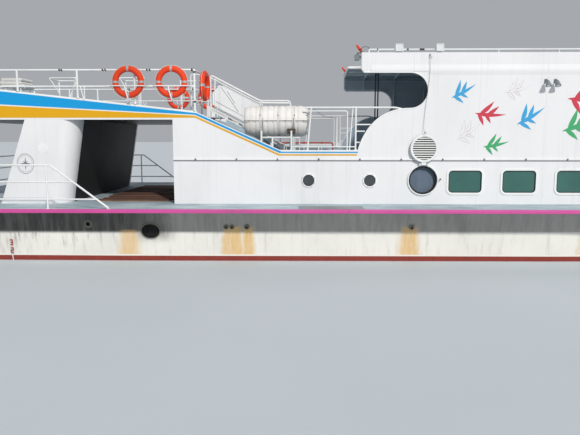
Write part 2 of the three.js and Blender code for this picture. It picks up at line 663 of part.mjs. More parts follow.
// Rails of the sun deck, standing on the bulwark, joined across the after end and forward.
const sunRail = { post: 18, top: 4265, mid: 3904, midAft: -16850, y: 2720, aft: -17970, fore: -11950 };
const sunPostXs = [sunRail.fore, -13300, -14600, -15960, sunRail.midAft, sunRail.aft];
const stairheadRails = [[-sunRail.y, stair.y0 - 50], [stair.y1 + 50, sunRail.y]];
const sunTube = (from, to) => bar(from, to, tubeRadius, 6);
const sunPost = (x, y, foot) => bar([x, y, foot], [x, y, sunRail.top + 12], sunRail.post, 6);
place('sun_rails', join([
  ...[-sunRail.y, sunRail.y].flatMap((y) => [
    sunTube([sunRail.aft, y, sunRail.top], [sunRail.fore, y, sunRail.top]),
    sunTube([sunRail.midAft, y, sunRail.mid], [sunRail.fore, y, sunRail.mid]),
    ...sunPostXs.map((x) => sunPost(x, y, bulwarkTop(x) + gap + 5)),
  ]),
  sunTube([sunRail.aft, -sunRail.y, sunRail.top], [sunRail.aft, sunRail.y, sunRail.top]),
  ...[-1350, 0, 1350].map((y) => sunPost(sunRail.aft, y, bulwarkTop(sunAftX) + gap)),
  ...stairheadRails.flatMap(([y0, y1]) => (
    [sunRail.top, sunRail.mid, 3560].map((z) => sunTube([sunRail.fore, y0, z], [sunRail.fore, y1, z])))),
  ...[stair.y0 - 50, stair.y1 + 50, 1000].map((y) => sunPost(sunRail.fore, y, sunZ + gap)),
]), white);

// Rail round the after end of the main deck, falling to the deck edge at its forward ends.
const aftRail = { top: 2181, mid: 1826, low: 1458, foot: 1272, inset: 60, sternX: -18880 };
const aftRailSlope = { top: -14765, foot: -13643 };
const aftRailXs = [-14890, -16390, -17500];
const aftRailY = (x) => deckEdgeAt(x) - aftRail.inset;
const alongSlope = (z) => {
  const down = (aftRail.top - z) / (aftRail.top - aftRail.foot);
  return aftRailSlope.top + (aftRailSlope.foot - aftRailSlope.top) * down;
};
const aftPoint = (x, side, z) => [x, side * aftRailY(x), z];
place('aft_rail', join([
  ...Object.values(sides).flatMap((side) => [
    bar(aftPoint(aftRailSlope.top, side, aftRail.top), aftPoint(aftRailSlope.foot, side, aftRail.foot)),
    ...[aftRail.top, aftRail.mid, aftRail.low].flatMap((z) => barRun([
      aftPoint(alongSlope(z), side, z),
      aftPoint(-17500, side, z),
      aftPoint(aftRail.sternX, side, z),
      [aftRail.sternX, 0, z],
    ])),
    ...aftRailXs.concat(aftRail.sternX).map((x) => (
      bar(aftPoint(x, side, deckZ + gap), aftPoint(x, side, aftRail.top + 12)))),
    bar([aftRail.sternX, side * 1700, deckZ + gap], [aftRail.sternX, side * 1700, aftRail.top + 12]),
  ]),
  bar([aftRail.sternX, 0, deckZ + gap], [aftRail.sternX, 0, aftRail.top + 12]),
]), white);

// Rail round the foredeck, from abreast the front screen to the stem.
const bowRailXs = [9600, 11400, 13000, 14700, 16400, 18000];
const bowRailRise = 950;
const bowPoint = (x, side, rise) => [x, side * (deckEdgeAt(x) - 70), deckHeightAt(x) + rise];
place('bow_rail', join([
  ...Object.values(sides).flatMap((side) => [
    ...[bowRailRise, bowRailRise / 2].flatMap((rise) => barRun([
      ...bowRailXs.map((x) => bowPoint(x, side, rise)),
      [18760, 0, deckHeightAt(18760) + rise],
    ])),
    ...bowRailXs.map((x) => bar(bowPoint(x, side, 4), bowPoint(x, side, bowRailRise + 12))),
  ]),
]), white);

// Low rail on the roof parapet, with floodlights on short stems over the verandah.
const roofRail = { z: 4698, y: 2720, aft: -8030, foot: -8046, fore: roofForeX - 230, radius: 18 };
const roofPosts = { x0: -7844, pitch: 1333, count: 11, radius: 14 };
const roofPostXs = Array.from({ length: roofPosts.count }, (_, i) => roofPosts.x0 + i * roofPosts.pitch);
const floodlight = { xs: [-7381, -6484], half: 85, deep: 35, low: -40, high: 115 };
place('roof_rail', join([
  ...[-roofRail.y, roofRail.y].flatMap((y) => [
    bar([roofRail.aft, y, roofRail.z], [roofRail.fore + 11, y, roofRail.z], roofRail.radius, 6),
    bar([roofRail.foot, y, parapetZ + 17], [roofRail.aft + 25, y, roofRail.z + 9], 16),
    ...roofPostXs.map((x) => bar([x, y, parapetZ + gap], [x, y, roofRail.z + 6], roofPosts.radius, 6)),
    ...floodlight.xs.flatMap((x) => [
      bar([x, y, parapetZ + gap], [x, y, roofRail.z + 60], roofPosts.radius, 6),
      block(x - floodlight.half, x + floodlight.half, y - floodlight.deep, y + floodlight.deep,
        roofRail.z + floodlight.low, roofRail.z + floodlight.high),
    ]),
  ]),
  bar([roofRail.fore, -roofRail.y - 8, roofRail.z], [roofRail.fore, roofRail.y + 8, roofRail.z],
    roofRail.radius, 6),
]), white);

// Middle deck: rails on the coaming, and a life raft in its cradle, each side.
const midRail = { y: 2710, top: 3430, second: 3350, low: 2548, fore: -8315, heel: 2 };
const raft = { x: -10115, length: 1500, y: 2300, z: 3146, radius: 350 };
for (const [name, side] of Object.entries(sides)) {
  const y = side * midRail.y;
  const foot = coamingZ + gap;
  place(`mid_rail_${name}`, join([
    bar([-9460, y, midRail.top], [-7560, y, midRail.top]),
    bar([-9460, y, midRail.second], [midRail.fore, y, midRail.second], 15),
    bar([-9770, y, midRail.low], [midRail.fore, y, midRail.low], 15),
    bar([-9770, y, foot], [-9770, y, midRail.low], 15),
    ...[[3050, -7990], [2900, -8120], [2650, -8230]].map(([z, end]) => (
      bar([midRail.fore, y, z], [end, y, z], 15))),
    bar([-9403, y, foot + midRail.heel], [-9323, y, midRail.top]),
    bar([-8740, y, foot], [-8740, y, midRail.second]),
    bar([midRail.fore, y, foot], [midRail.fore, y, midRail.top]),
  ]), white);

  const half = raft.length / 2;
  const raftY = side * raft.y;
  const canister = [[0, -half], [raft.radius * 0.8, -half], [raft.radius, -half + 90],
    [raft.radius, half - 90], [raft.radius * 0.8, half], [0, half]];
  const flange = block(-half + 30, half - 30, -raft.radius - 18, raft.radius + 18, -16, 16);
  const canisterBody = join([turnedAlongX(canister, 24), flange]);
  place(`life_raft_${name}`, canisterBody, canisterWhite, [raft.x, raftY, raft.z]);

  const saddles = [raft.x - 350, raft.x + 345];
  const legYs = [raftY - 260, raftY + 260];
  const under = raft.z - raft.radius;
  const legFoot = (x) => Math.max(midZ, slopeTop(x - tubeRadius)) + gap;
  const cradle = join([
    ...saddles.map((x) => block(x - 30, x + 30, raftY - 300, raftY + 300, under - 60, raft.z - 200)),
    ...saddles.flatMap((x) => legYs.map((legY) => bar([x, legY, legFoot(x)], [x, legY, under - 20]))),
    ...legYs.map((legY) => bar([saddles[0], legY, under - 35], [saddles[1], legY, under - 35], 24)),
  ]);
  const reach = raft.radius + 20;
  place(`raft_cradle_${name}`, cut(cradle, [
    bar([raft.x - 900, raftY, raft.z], [raft.x + 900, raftY, raft.z], raft.radius + seat, 24),
    block(raft.x - 800, raft.x + 800, raftY - reach, raftY + reach, raft.z - 18, raft.z + 400),
  ]), white);
}

// Life rings on the sun deck's rails.
const ring = { radius: 292, thick: 68 };
const hexFlat = Math.cos(Math.PI / 6);
const ringOut = (tubeRadius + ring.thick) * hexFlat + seat;
const rings = [
  // name, x, y, z, faces across the boat
  ['life_ring_starboard_aft', -13423, -(sunRail.y + ringOut), 3992, true],
  ['life_ring_starboard_fore', -12450, -(sunRail.y + ringOut), 3992, true],
  ['life_ring_port_aft', -13423, sunRail.y + ringOut, 3992, true],
  ['life_ring_port_fore', -12450, sunRail.y + ringOut, 3992, true],
  ['life_ring_stairhead', sunRail.fore + ringOut, -2060, 3960, false],
];
for (const [name, x, y, z, sideways] of rings) {
  const shape = new THREE.TorusGeometry(ring.radius, ring.thick, 6, 20);
  shape.rotateX(Math.PI / 2);
  if (!sideways) shape.rotateZ(Math.PI / 2);
  place(name, shape, orange, [x, y, z]);
}

// Seats: benches in rows on a low plinth each side of the aisle, in the sunk saloon and in the upper cabin.
const bench = { pitch: 900, cushion: 420, back: 950, depth: 430, thick: 70, plinth: 60 };
function seatRows(x0, count, floor, inner, outer) {
  const { cushion, back, depth, thick, plinth } = bench;
  const foot = plinth - 10;
  const seatPoints = [[0, foot], [depth, foot], [depth, cushion], [20, cushion]];
  const profile = [...seatPoints, [-60, back], [-60 - thick, back]];
  const run = (count - 1) * bench.pitch;
  return join([
    ...Object.values(sides).flatMap((side) => {
      const [a, b] = [side * inner, side * outer].sort((p, q) => p - q);
      return [
        block(x0 - 160, x0 + run + depth + 40, a, b, floor + gap, floor + plinth),
        ...Array.from({ length: count }, (_, i) => (
          across(profile.map(([x, z]) => [x0 + i * bench.pitch + x, floor + z]), a + 5, b - 5))),
      ];
    }),
    block(x0 + 10, x0 + 80, -outer + 100, outer - 100, floor + gap, floor + plinth - 5),
  ]);
}
place('seats_lower', seatRows(-9300, 17, saloonFloorZ, 420, 2150), seatBlue);
place('seats_upper', seatRows(-5200, 10, midZ, 420, 2500), seatBlue);

// Steps down from the passage level into the saloon.
const saloonSteps = { x: -12290, count: 5, run: 260, half: 600 };
const stepRise = (deckZ - saloonFloorZ) / saloonSteps.count;
place('saloon_steps', across([
  [saloonSteps.x, saloonFloorZ + gap],
  [saloonSteps.x + saloonSteps.count * saloonSteps.run, saloonFloorZ + gap],
  ...Array.from({ length: saloonSteps.count }, (_, i) => {
    const x = saloonSteps.x + (saloonSteps.count - i) * saloonSteps.run;
    const z = saloonFloorZ + (i + 0.9) * stepRise;
    return [[x, z], [x - saloonSteps.run, z]];
  }).flat(),
], -saloonSteps.half, saloonSteps.half), deckBlue);

// Helm console.
place('helm_console', across([
  [5650, midZ + gap], [6350, midZ + gap], [6350, midZ + 700], [6150, midZ + 1050], [5700, midZ + 900],
], -1100, 1100), darkPanel);

// Main engines, each a plain block at its place.
for (const [name, side] of Object.entries(sides)) {
  place(`engine_${name}`, block(-16000, -14200, side * 1000 - 400, side * 1000 + 400,
    engineRoom.floor + gap, engineRoom.floor + 1000), engineGreen);
}

// Propellers with their shafts, the brackets that carry them, and the rudders.
const shaftLength = (shaftStart - propeller.x) / Math.cos(shaftLean);
const strutX = -16250;
for (const [name, side] of Object.entries(sides)) {
  const hub = [[0, -150], [70, -140], [105, -60], [105, 110], [60, 150], [0, 150]];
  const blades = Array.from({ length: 4 }, (_, i) => {
    const shape = new THREE.Shape();
    shape.absellipse(0, 265, 150, 185, 0, Math.PI * 2);
    const blade = new THREE.ExtrudeGeometry(shape, { depth: 26, bevelEnabled: false, curveSegments: 7 });
    return blade.translate(0, 0, -13).rotateY(side * 0.95).rotateX(Math.PI / 2 + i * Math.PI / 2);
  });
  const screw = place(`propeller_${name}`, join([
    turnedAlongX(hub, 16),
    bar([0, 0, 0], [shaftLength, 0, 0], shaftRadius, 12),
    ...blades,
  ]), bronze, [propeller.x, side * shaftY, propeller.z]);
  screw.rotation.y = -shaftLean;

  const hullAt = -560;
  place(`strut_${name}`, cut(join([
    onShaft(strutX - 140, strutX + 140, side, 95, 16),
    across([[strutX - 110, alongShaft(strutX) + 40], [strutX + 90, alongShaft(strutX) + 40],
      [strutX + 140, hullAt + 150], [strutX - 60, hullAt + 150]], side * shaftY - 22, side * shaftY + 22),
  ]), [
    onShaft(strutX - 300, strutX + 300, side, shaftRadius + 6, 16),
    toSolid(loft(hullSections)).translate(0, 0, -gap),
  ]), bronze);

  const blade = new THREE.Shape();
  blade.moveTo(280, 0);
  blade.bezierCurveTo(180, 60, -150, 55, rudder.length - 1120, 6);
  blade.lineTo(rudder.length - 1120, -6);
  blade.bezierCurveTo(-150, -55, 180, -60, 280, 0);
  place(`rudder_${name}`, join([
    upright(blade, rudder.bottom, rudder.top, 6),
    bar([0, 0, rudder.top - 400], [0, 0, rudder.stockTop], rudder.stock, 12),
  ]), antifoul, [rudder.x, side * shaftY, 0]);
}

// Mast with its crosstree and radar platform, and the scanner that turns on it.
const mast = { x: 3400, top: 7500, platformZ: 6100 };
const radarX = mast.x + 640;
place('mast', join([
  block(mast.x - 200, mast.x + 200, -200, 200, roofZ + gap, roofZ + 30),
  bar([mast.x, 0, roofZ + 10], [mast.x - 150, 0, mast.top], 60, 12),
  block(mast.x - 1360, mast.x - 1240, -500 - 60, -500 + 60, roofZ + gap, roofZ + 30),
  bar([mast.x - 1300, -500, roofZ + 26], [mast.x - 90, 0, 5900], 34, 8),
  block(mast.x - 1360, mast.x - 1240, 500 - 60, 500 + 60, roofZ + gap, roofZ + 30),
  bar([mast.x - 1300, 500, roofZ + 26], [mast.x - 90, 0, 5900], 34, 8),
  block(mast.x - 90, radarX + 200, -180, 180, mast.platformZ - 30, mast.platformZ),
  bar([mast.x - 30, 0, 5560], [radarX, 0, mast.platformZ - 10], 24, 8),
  bar([mast.x - 130, -1000, 6850], [mast.x - 130, 1000, 6850], 24, 8),
  bar([mast.x - 130, -900, 6850], [mast.x - 130, -900, 7150], 16, 8),
  bar([mast.x - 130, 900, 6850], [mast.x - 130, 900, 7150], 16, 8),
  bar([radarX, 0, mast.platformZ - 10], [radarX, 0, mast.platformZ + 180], 110, 16),
]), white);
place('radar_scanner', join([
  bar([0, 0, 0], [0, 0, 60], 70, 16),
  block(-60, 60, -600, 600, 50, 170),
]), white, [radarX, 0, mast.platformZ + 180 + seat]);

export default ferry;
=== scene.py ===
import math
import random

import bmesh
import bpy
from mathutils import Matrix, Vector


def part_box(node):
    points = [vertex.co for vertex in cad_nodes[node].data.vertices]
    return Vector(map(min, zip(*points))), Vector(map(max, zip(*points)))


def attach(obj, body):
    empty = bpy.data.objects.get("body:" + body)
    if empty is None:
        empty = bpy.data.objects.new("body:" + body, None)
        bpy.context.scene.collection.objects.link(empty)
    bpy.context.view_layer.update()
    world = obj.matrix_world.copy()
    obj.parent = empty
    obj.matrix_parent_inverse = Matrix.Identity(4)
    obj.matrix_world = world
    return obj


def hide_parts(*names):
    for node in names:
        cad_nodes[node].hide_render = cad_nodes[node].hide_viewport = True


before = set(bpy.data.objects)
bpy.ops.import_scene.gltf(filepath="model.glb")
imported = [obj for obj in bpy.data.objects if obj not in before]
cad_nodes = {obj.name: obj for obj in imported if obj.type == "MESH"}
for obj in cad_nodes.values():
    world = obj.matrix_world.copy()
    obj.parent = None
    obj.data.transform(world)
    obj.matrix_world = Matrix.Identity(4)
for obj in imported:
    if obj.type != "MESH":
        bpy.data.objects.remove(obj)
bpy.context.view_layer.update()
both_sides = ((-1, "starboard"), (1, "port"))
along_boat, abeam, upright = Vector((1, 0, 0)), Vector((0, 1, 0)), Vector((0, 0, 1))

# Hull: a hard-chine shell of welded steel plate, painted cream above a red boot-top.
# Soot and ochre rust run down it from the exhausts and the water outlets in its side.


def tone(code):
    """A paint's colour from its six-digit code, in linear light."""
    parts = [int(code[i:i + 2], 16) / 255 for i in (0, 2, 4)]
    return [p / 12.92 if p <= 0.04045 else ((p + 0.055) / 1.055) ** 2.4 for p in parts] + [1.0]


def wire(tree, kind, inputs=None, **settings):
    """Adds a shader node, sets it, and fills or links its inputs."""
    made = tree.nodes.new("ShaderNode" + kind)
    for name, value in settings.items():
        setattr(made, name, value)
    for key, value in (inputs or {}).items():
        if isinstance(value, bpy.types.NodeSocket):
            tree.links.new(value, made.inputs[key])
        else:
            made.inputs[key].default_value = value
    return made


def calc(tree, operation, *values, clamp=False):
    """Adds a sum over numbers and sockets."""
    made = wire(tree, "Math", dict(enumerate(values)), operation=operation, use_clamp=clamp)
    return made.outputs[0]


def mix(tree, share, first, second, mode="MIX"):
    """Blends two colours by a share."""
    made = wire(tree, "Mix", data_type="RGBA", blend_type=mode)
    for index, value in ((0, share), (6, first), (7, second)):
        if isinstance(value, bpy.types.NodeSocket):
            tree.links.new(value, made.inputs[index])
        else:
            made.inputs[index].default_value = value
    return made.outputs[2]


def ramp(tree, value, low, high, start=0.0, end=1.0):
    """Eases from start to end as value goes from low to high."""
    made = wire(
        tree, "MapRange", {0: value, 1: low, 2: high, 3: start, 4: end}, interpolation_type="SMOOTHSTEP"
    )
    return made.outputs[0]


def noise(tree, place, scale, detail=4.0, rough=0.55, stretch=None):
    """A cloudy pattern, stretched along the axes where stretch is given."""
    if stretch:
        place = wire(tree, "VectorMath", {0: place, 1: stretch}, operation="MULTIPLY").outputs[0]
    return wire(
        tree, "TexNoise", {"Vector": place, "Scale": scale, "Detail": detail, "Roughness": rough}
    ).outputs["Fac"]


def effect(name, inputs, outputs):
    """Starts a shader node group with named inputs and outputs."""
    tree = bpy.data.node_groups.new(name, "ShaderNodeTree")
    for label, kind, value in inputs:
        socket = tree.interface.new_socket(label, in_out="INPUT", socket_type="NodeSocket" + kind)
        socket.default_value = value
    for label, kind in outputs:
        tree.interface.new_socket(label, in_out="OUTPUT", socket_type="NodeSocket" + kind)
    return tree, tree.nodes.new("NodeGroupInput").outputs, tree.nodes.new("NodeGroupOutput").inputs


def use(tree, group, **values):
    """Places a node group in a material with its own values."""
    made = tree.nodes.new("ShaderNodeGroup")
    made.node_tree = group
    for key, value in values.items():
        socket = made.inputs[key.replace("_", " ")]
        if isinstance(value, bpy.types.NodeSocket):
            tree.links.new(value, socket)
        else:
            socket.default_value = value
    return made.outputs


# Weathered coat: brushed paint that has chalked in patches and carries thin upright dirt streaks.
weathered, given, result = effect(
    "Weathered coat",
    [
        ("Paint", "Color", tone("e4e8ec")),
        ("Soil", "Color", tone("6d685c")),
        ("Streaks", "Float", 0.2),
        ("Mottle", "Float", 0.1),
        ("Roughness", "Float", 0.45),
        ("Grain", "Float", 30.0),
    ],
    [("Color", "Color"), ("Roughness", "Float"), ("Height", "Float")],
)
place = wire(weathered, "TexCoord").outputs["Object"]
broad = noise(weathered, place, 0.7, 5.0, 0.6)
fine = noise(weathered, place, given["Grain"], 3.0)
runs = noise(weathered, place, 2.6, 7.0, 0.62, (3.0, 3.0, 0.16))
streak = calc(weathered, "MULTIPLY", ramp(weathered, runs, 0.5, 0.8), given["Streaks"])
patch = calc(weathered, "MULTIPLY", ramp(weathered, broad, 0.4, 0.75), given["Mottle"])
soiled = calc(weathered, "ADD", streak, patch, clamp=True)
weathered.links.new(mix(weathered, soiled, given["Paint"], given["Soil"]), result["Color"])
worn = calc(weathered, "MULTIPLY_ADD", soiled, 0.35, given["Roughness"])
weathered.links.new(calc(weathered, "MULTIPLY_ADD", fine, 0.12, worn), result["Roughness"])
weathered.links.new(calc(weathered, "MULTIPLY_ADD", broad, 0.5, fine), result["Height"])

# Run mark: a stain that hangs from one place in a plate and widens and fades as it goes down.
run_mark, given, result = effect(
    "Run mark",
    [
        ("Along", "Float", 0.0),
        ("Half width", "Float", 0.1),
        ("Top", "Float", 0.7),
        ("Reach", "Float", 0.7),
        ("Raggedness", "Float", 0.5),
    ],
    [("Mask", "Float")],
)
place = wire(run_mark, "TexCoord").outputs["Object"]
spot = wire(run_mark, "SeparateXYZ", {0: place}).outputs
wander = calc(run_mark, "MULTIPLY_ADD", noise(run_mark, place, 3.0, 4.0), 0.16, -0.08)
down = calc(run_mark, "DIVIDE", calc(run_mark, "SUBTRACT", given["Top"], spot["Z"]), given["Reach"])
aside = calc(
    run_mark, "ABSOLUTE",
    calc(run_mark, "ADD", calc(run_mark, "SUBTRACT", spot["X"], given["Along"]), wander)
)
wide = calc(
    run_mark, "MULTIPLY_ADD", down, calc(run_mark, "MULTIPLY", given["Half width"], 0.5),
    given["Half width"]
)
inside = ramp(run_mark, calc(run_mark, "DIVIDE", aside, wide), 1.3, 0.35)
below = calc(run_mark, "MULTIPLY", ramp(run_mark, down, -0.03, 0.05), ramp(run_mark, down, 1.1, 0.75))
ragged = noise(run_mark, place, 5.0, 8.0, 0.7, (4.0, 4.0, 0.35))
thin = calc(
    run_mark, "MULTIPLY_ADD", ramp(run_mark, ragged, 0.62, 0.38), given["Raggedness"],
    calc(run_mark, "SUBTRACT", 1.0, given["Raggedness"])
)
run_mark.links.new(
    calc(run_mark, "MULTIPLY", calc(run_mark, "MULTIPLY", inside, below), thin, clamp=True), result["Mask"]
)

# Plate seams: the low weld beads that show through the paint at each plate's edge.
seams, given, result = effect(
    "Plate seams",
    [("Pitch", "Float", 1.5), ("Start", "Float", 0.0), ("Width", "Float", 0.012)],
    [("Height", "Float")],
)
spot = wire(seams, "SeparateXYZ", {0: wire(seams, "TexCoord").outputs["Object"]}).outputs
turns = calc(seams, "DIVIDE", calc(seams, "SUBTRACT", spot["X"], given["Start"]), given["Pitch"])
off = calc(seams, "ABSOLUTE", calc(seams, "SUBTRACT", turns, calc(seams, "ROUND", turns)))
near = calc(seams, "DIVIDE", calc(seams, "MULTIPLY", off, given["Pitch"]), given["Width"])
seams.links.new(ramp(seams, near, 1.0, 0.0), result["Height"])


def finish(name, colour, rough, bump=None, depth=0.004, metal=0.0, **sockets):
    """A material from its colour, roughness and height, each a value or a socket's maker."""
    material = bpy.data.materials.new(name)
    material.use_nodes = True
    shader = material.node_tree.nodes["Principled BSDF"]
    tree = material.node_tree
    for key, value in (("Base Color", colour), ("Roughness", rough), ("Metallic", metal)):
        value = value(tree) if callable(value) else value
        if isinstance(value, bpy.types.NodeSocket):
            tree.links.new(value, shader.inputs[key])
        else:
            shader.inputs[key].default_value = value
    if bump:
        made = wire(tree, "Bump", {"Height": bump(tree), "Strength": 0.6, "Distance": depth})
        tree.links.new(made.outputs[0], shader.inputs["Normal"])
    for key, value in sockets.items():
        shader.inputs[key.replace("_", " ")].default_value = value
    return material


def mottled(first, second, scale, *detail):
    """A colour that drifts between two tones over a surface."""
    def colour(tree):
        share = noise(tree, wire(tree, "TexCoord").outputs["Object"], scale, *detail)
        return mix(tree, share, tone(first), tone(second))
    return colour


def uneven(scale, low, high):
    """A roughness that drifts between two values over a surface."""
    def rough(tree):
        drift = noise(tree, wire(tree, "TexCoord").outputs["Object"], scale)
        return ramp(tree, drift, 0.3, 0.7, low, high)
    return rough


def coat(
    name, paint, soil="6d685c", streaks=0.2, mottle=0.1,
    rough=0.45, grain=30.0, depth=0.002, pitch=0.0, **more
):
    """A painted finish: the weathered coat, with plate seams where a pitch is given."""
    material = finish(name, tone(paint), rough, **more)
    tree = material.node_tree
    shader = tree.nodes["Principled BSDF"]
    made = use(tree, weathered, Paint=tone(paint), Soil=tone(soil), Streaks=streaks, Mottle=mottle,
               Roughness=rough, Grain=grain)
    tree.links.new(made["Color"], shader.inputs["Base Color"])
    tree.links.new(made["Roughness"], shader.inputs["Roughness"])
    height = made["Height"]
    if pitch:
        height = calc(
            tree, "MULTIPLY_ADD", use(tree, seams, Pitch=pitch, Start=0.37)["Height"], 2.2, height
        )
    bump = wire(tree, "Bump", {"Height": height, "Strength": 0.5, "Distance": depth})
    tree.links.new(bump.outputs[0], shader.inputs["Normal"])
    return material


def dress(material, *names):
    """Gives CAD nodes a finish."""
    for name in names:
        mesh = cad_nodes[name].data
        mesh.materials.clear()
        mesh.materials.append(material)


hull_coat = coat("Hull coat", "edebe4", "8f8a86", 0.35, 0.15, 0.42, pitch=1.82, depth=0.003)
tree = hull_coat.node_tree
shader = tree.nodes["Principled BSDF"]
place = wire(tree, "TexCoord").outputs["Object"]
spot = wire(tree, "SeparateXYZ", {0: place}).outputs
colour = shader.inputs["Base Color"].links[0].from_socket
soot_and_shade_streaks = noise(tree, place, 2.4, 8.0, 0.68, (3.2, 3.2, 0.1))
soot_zone = calc(tree, "MULTIPLY", ramp(tree, spot["X"], -12.2, -13.6), ramp(tree, spot["Z"], 0.62, 0.72))
soot = calc(tree, "MULTIPLY", soot_zone, ramp(tree, soot_and_shade_streaks, 0.32, 0.6, 0.72, 0.97))
hanging = calc(
    tree, "MULTIPLY", ramp(tree, spot["X"], -12.6, -14.5), ramp(tree, soot_and_shade_streaks, 0.5, 0.66, 0.0, 0.5)
)
hanging = calc(tree, "MULTIPLY", hanging, ramp(tree, spot["Z"], 0.1, 0.7))
plume = use(tree, run_mark, Along=-12.85, Half_width=0.34, Top=1.3, Reach=0.85, Raggedness=0.3)["Mask"]
soot = calc(tree, "MAXIMUM", calc(tree, "MAXIMUM", soot, hanging), calc(tree, "MULTIPLY", plume, 0.7))
colour = mix(tree, soot, colour, tone("2b2c2b"))
rust_runs = [
    # along, half width, top, strength
    (-13.41, 0.20, 0.72, 0.75),
    (-11.20, 0.10, 0.80, 0.80),
    (-11.02, 0.15, 0.80, 0.90),
    (-10.73, 0.12, 0.80, 0.95),
    (-7.12, 0.20, 0.80, 0.90),
    (-3.30, 0.09, 0.78, 0.45),
    (2.60, 0.12, 0.78, 0.55),
    (7.40, 0.10, 0.90, 0.50),
]
rust = 0.0
for along, half, top, strength in rust_runs:
    mask = use(tree, run_mark, Along=along, Half_width=half, Top=top, Reach=0.82, Raggedness=0.22)["Mask"]
    rust = calc(tree, "MAXIMUM", rust, calc(tree, "MULTIPLY", mask, strength))
# Painted shadow of the overhanging deck: the hull's side is darkened above 0.655 m, a little streaky.
shade = calc(tree, "MULTIPLY", ramp(tree, spot["Z"], 0.655, 0.70), ramp(tree, soot_and_shade_streaks, 0.3, 0.7, 0.52, 0.66))
colour = mix(tree, shade, colour, tone("4a4643"))
ochre = mix(tree, noise(tree, place, 9.0, 8.0, 0.75, (3.0, 3.0, 0.5)), tone("eecb88"), tone("d2a356"))
colour = mix(tree, rust, colour, ochre)
colour = mix(tree, ramp(tree, spot["Z"], 0.146, 0.150, 1.0, 0.0), colour, tone("eceae2"))
red = mix(tree, noise(tree, place, 4.0, 7.0, 0.7, (2.0, 2.0, 0.8)), tone("a2382c"), tone("6a2f26"))
colour = mix(tree, ramp(tree, spot["Z"], 0.112, 0.116, 1.0, 0.0), colour, red)
tree.links.new(colour, shader.inputs["Base Color"])
dress(hull_coat, "hull")


def on_side(u, v, w):
    """A place in the boat's side view: u along, v up, w across."""
    return (u, w, v)


def on_section(u, v, w):
    """A place in the boat's end view: u across, v up, w along."""
    return (w, u, v)


def on_deck(u, v, w):
    """A place in the boat's plan: u along, v across, w up."""
    return (u, v, w)


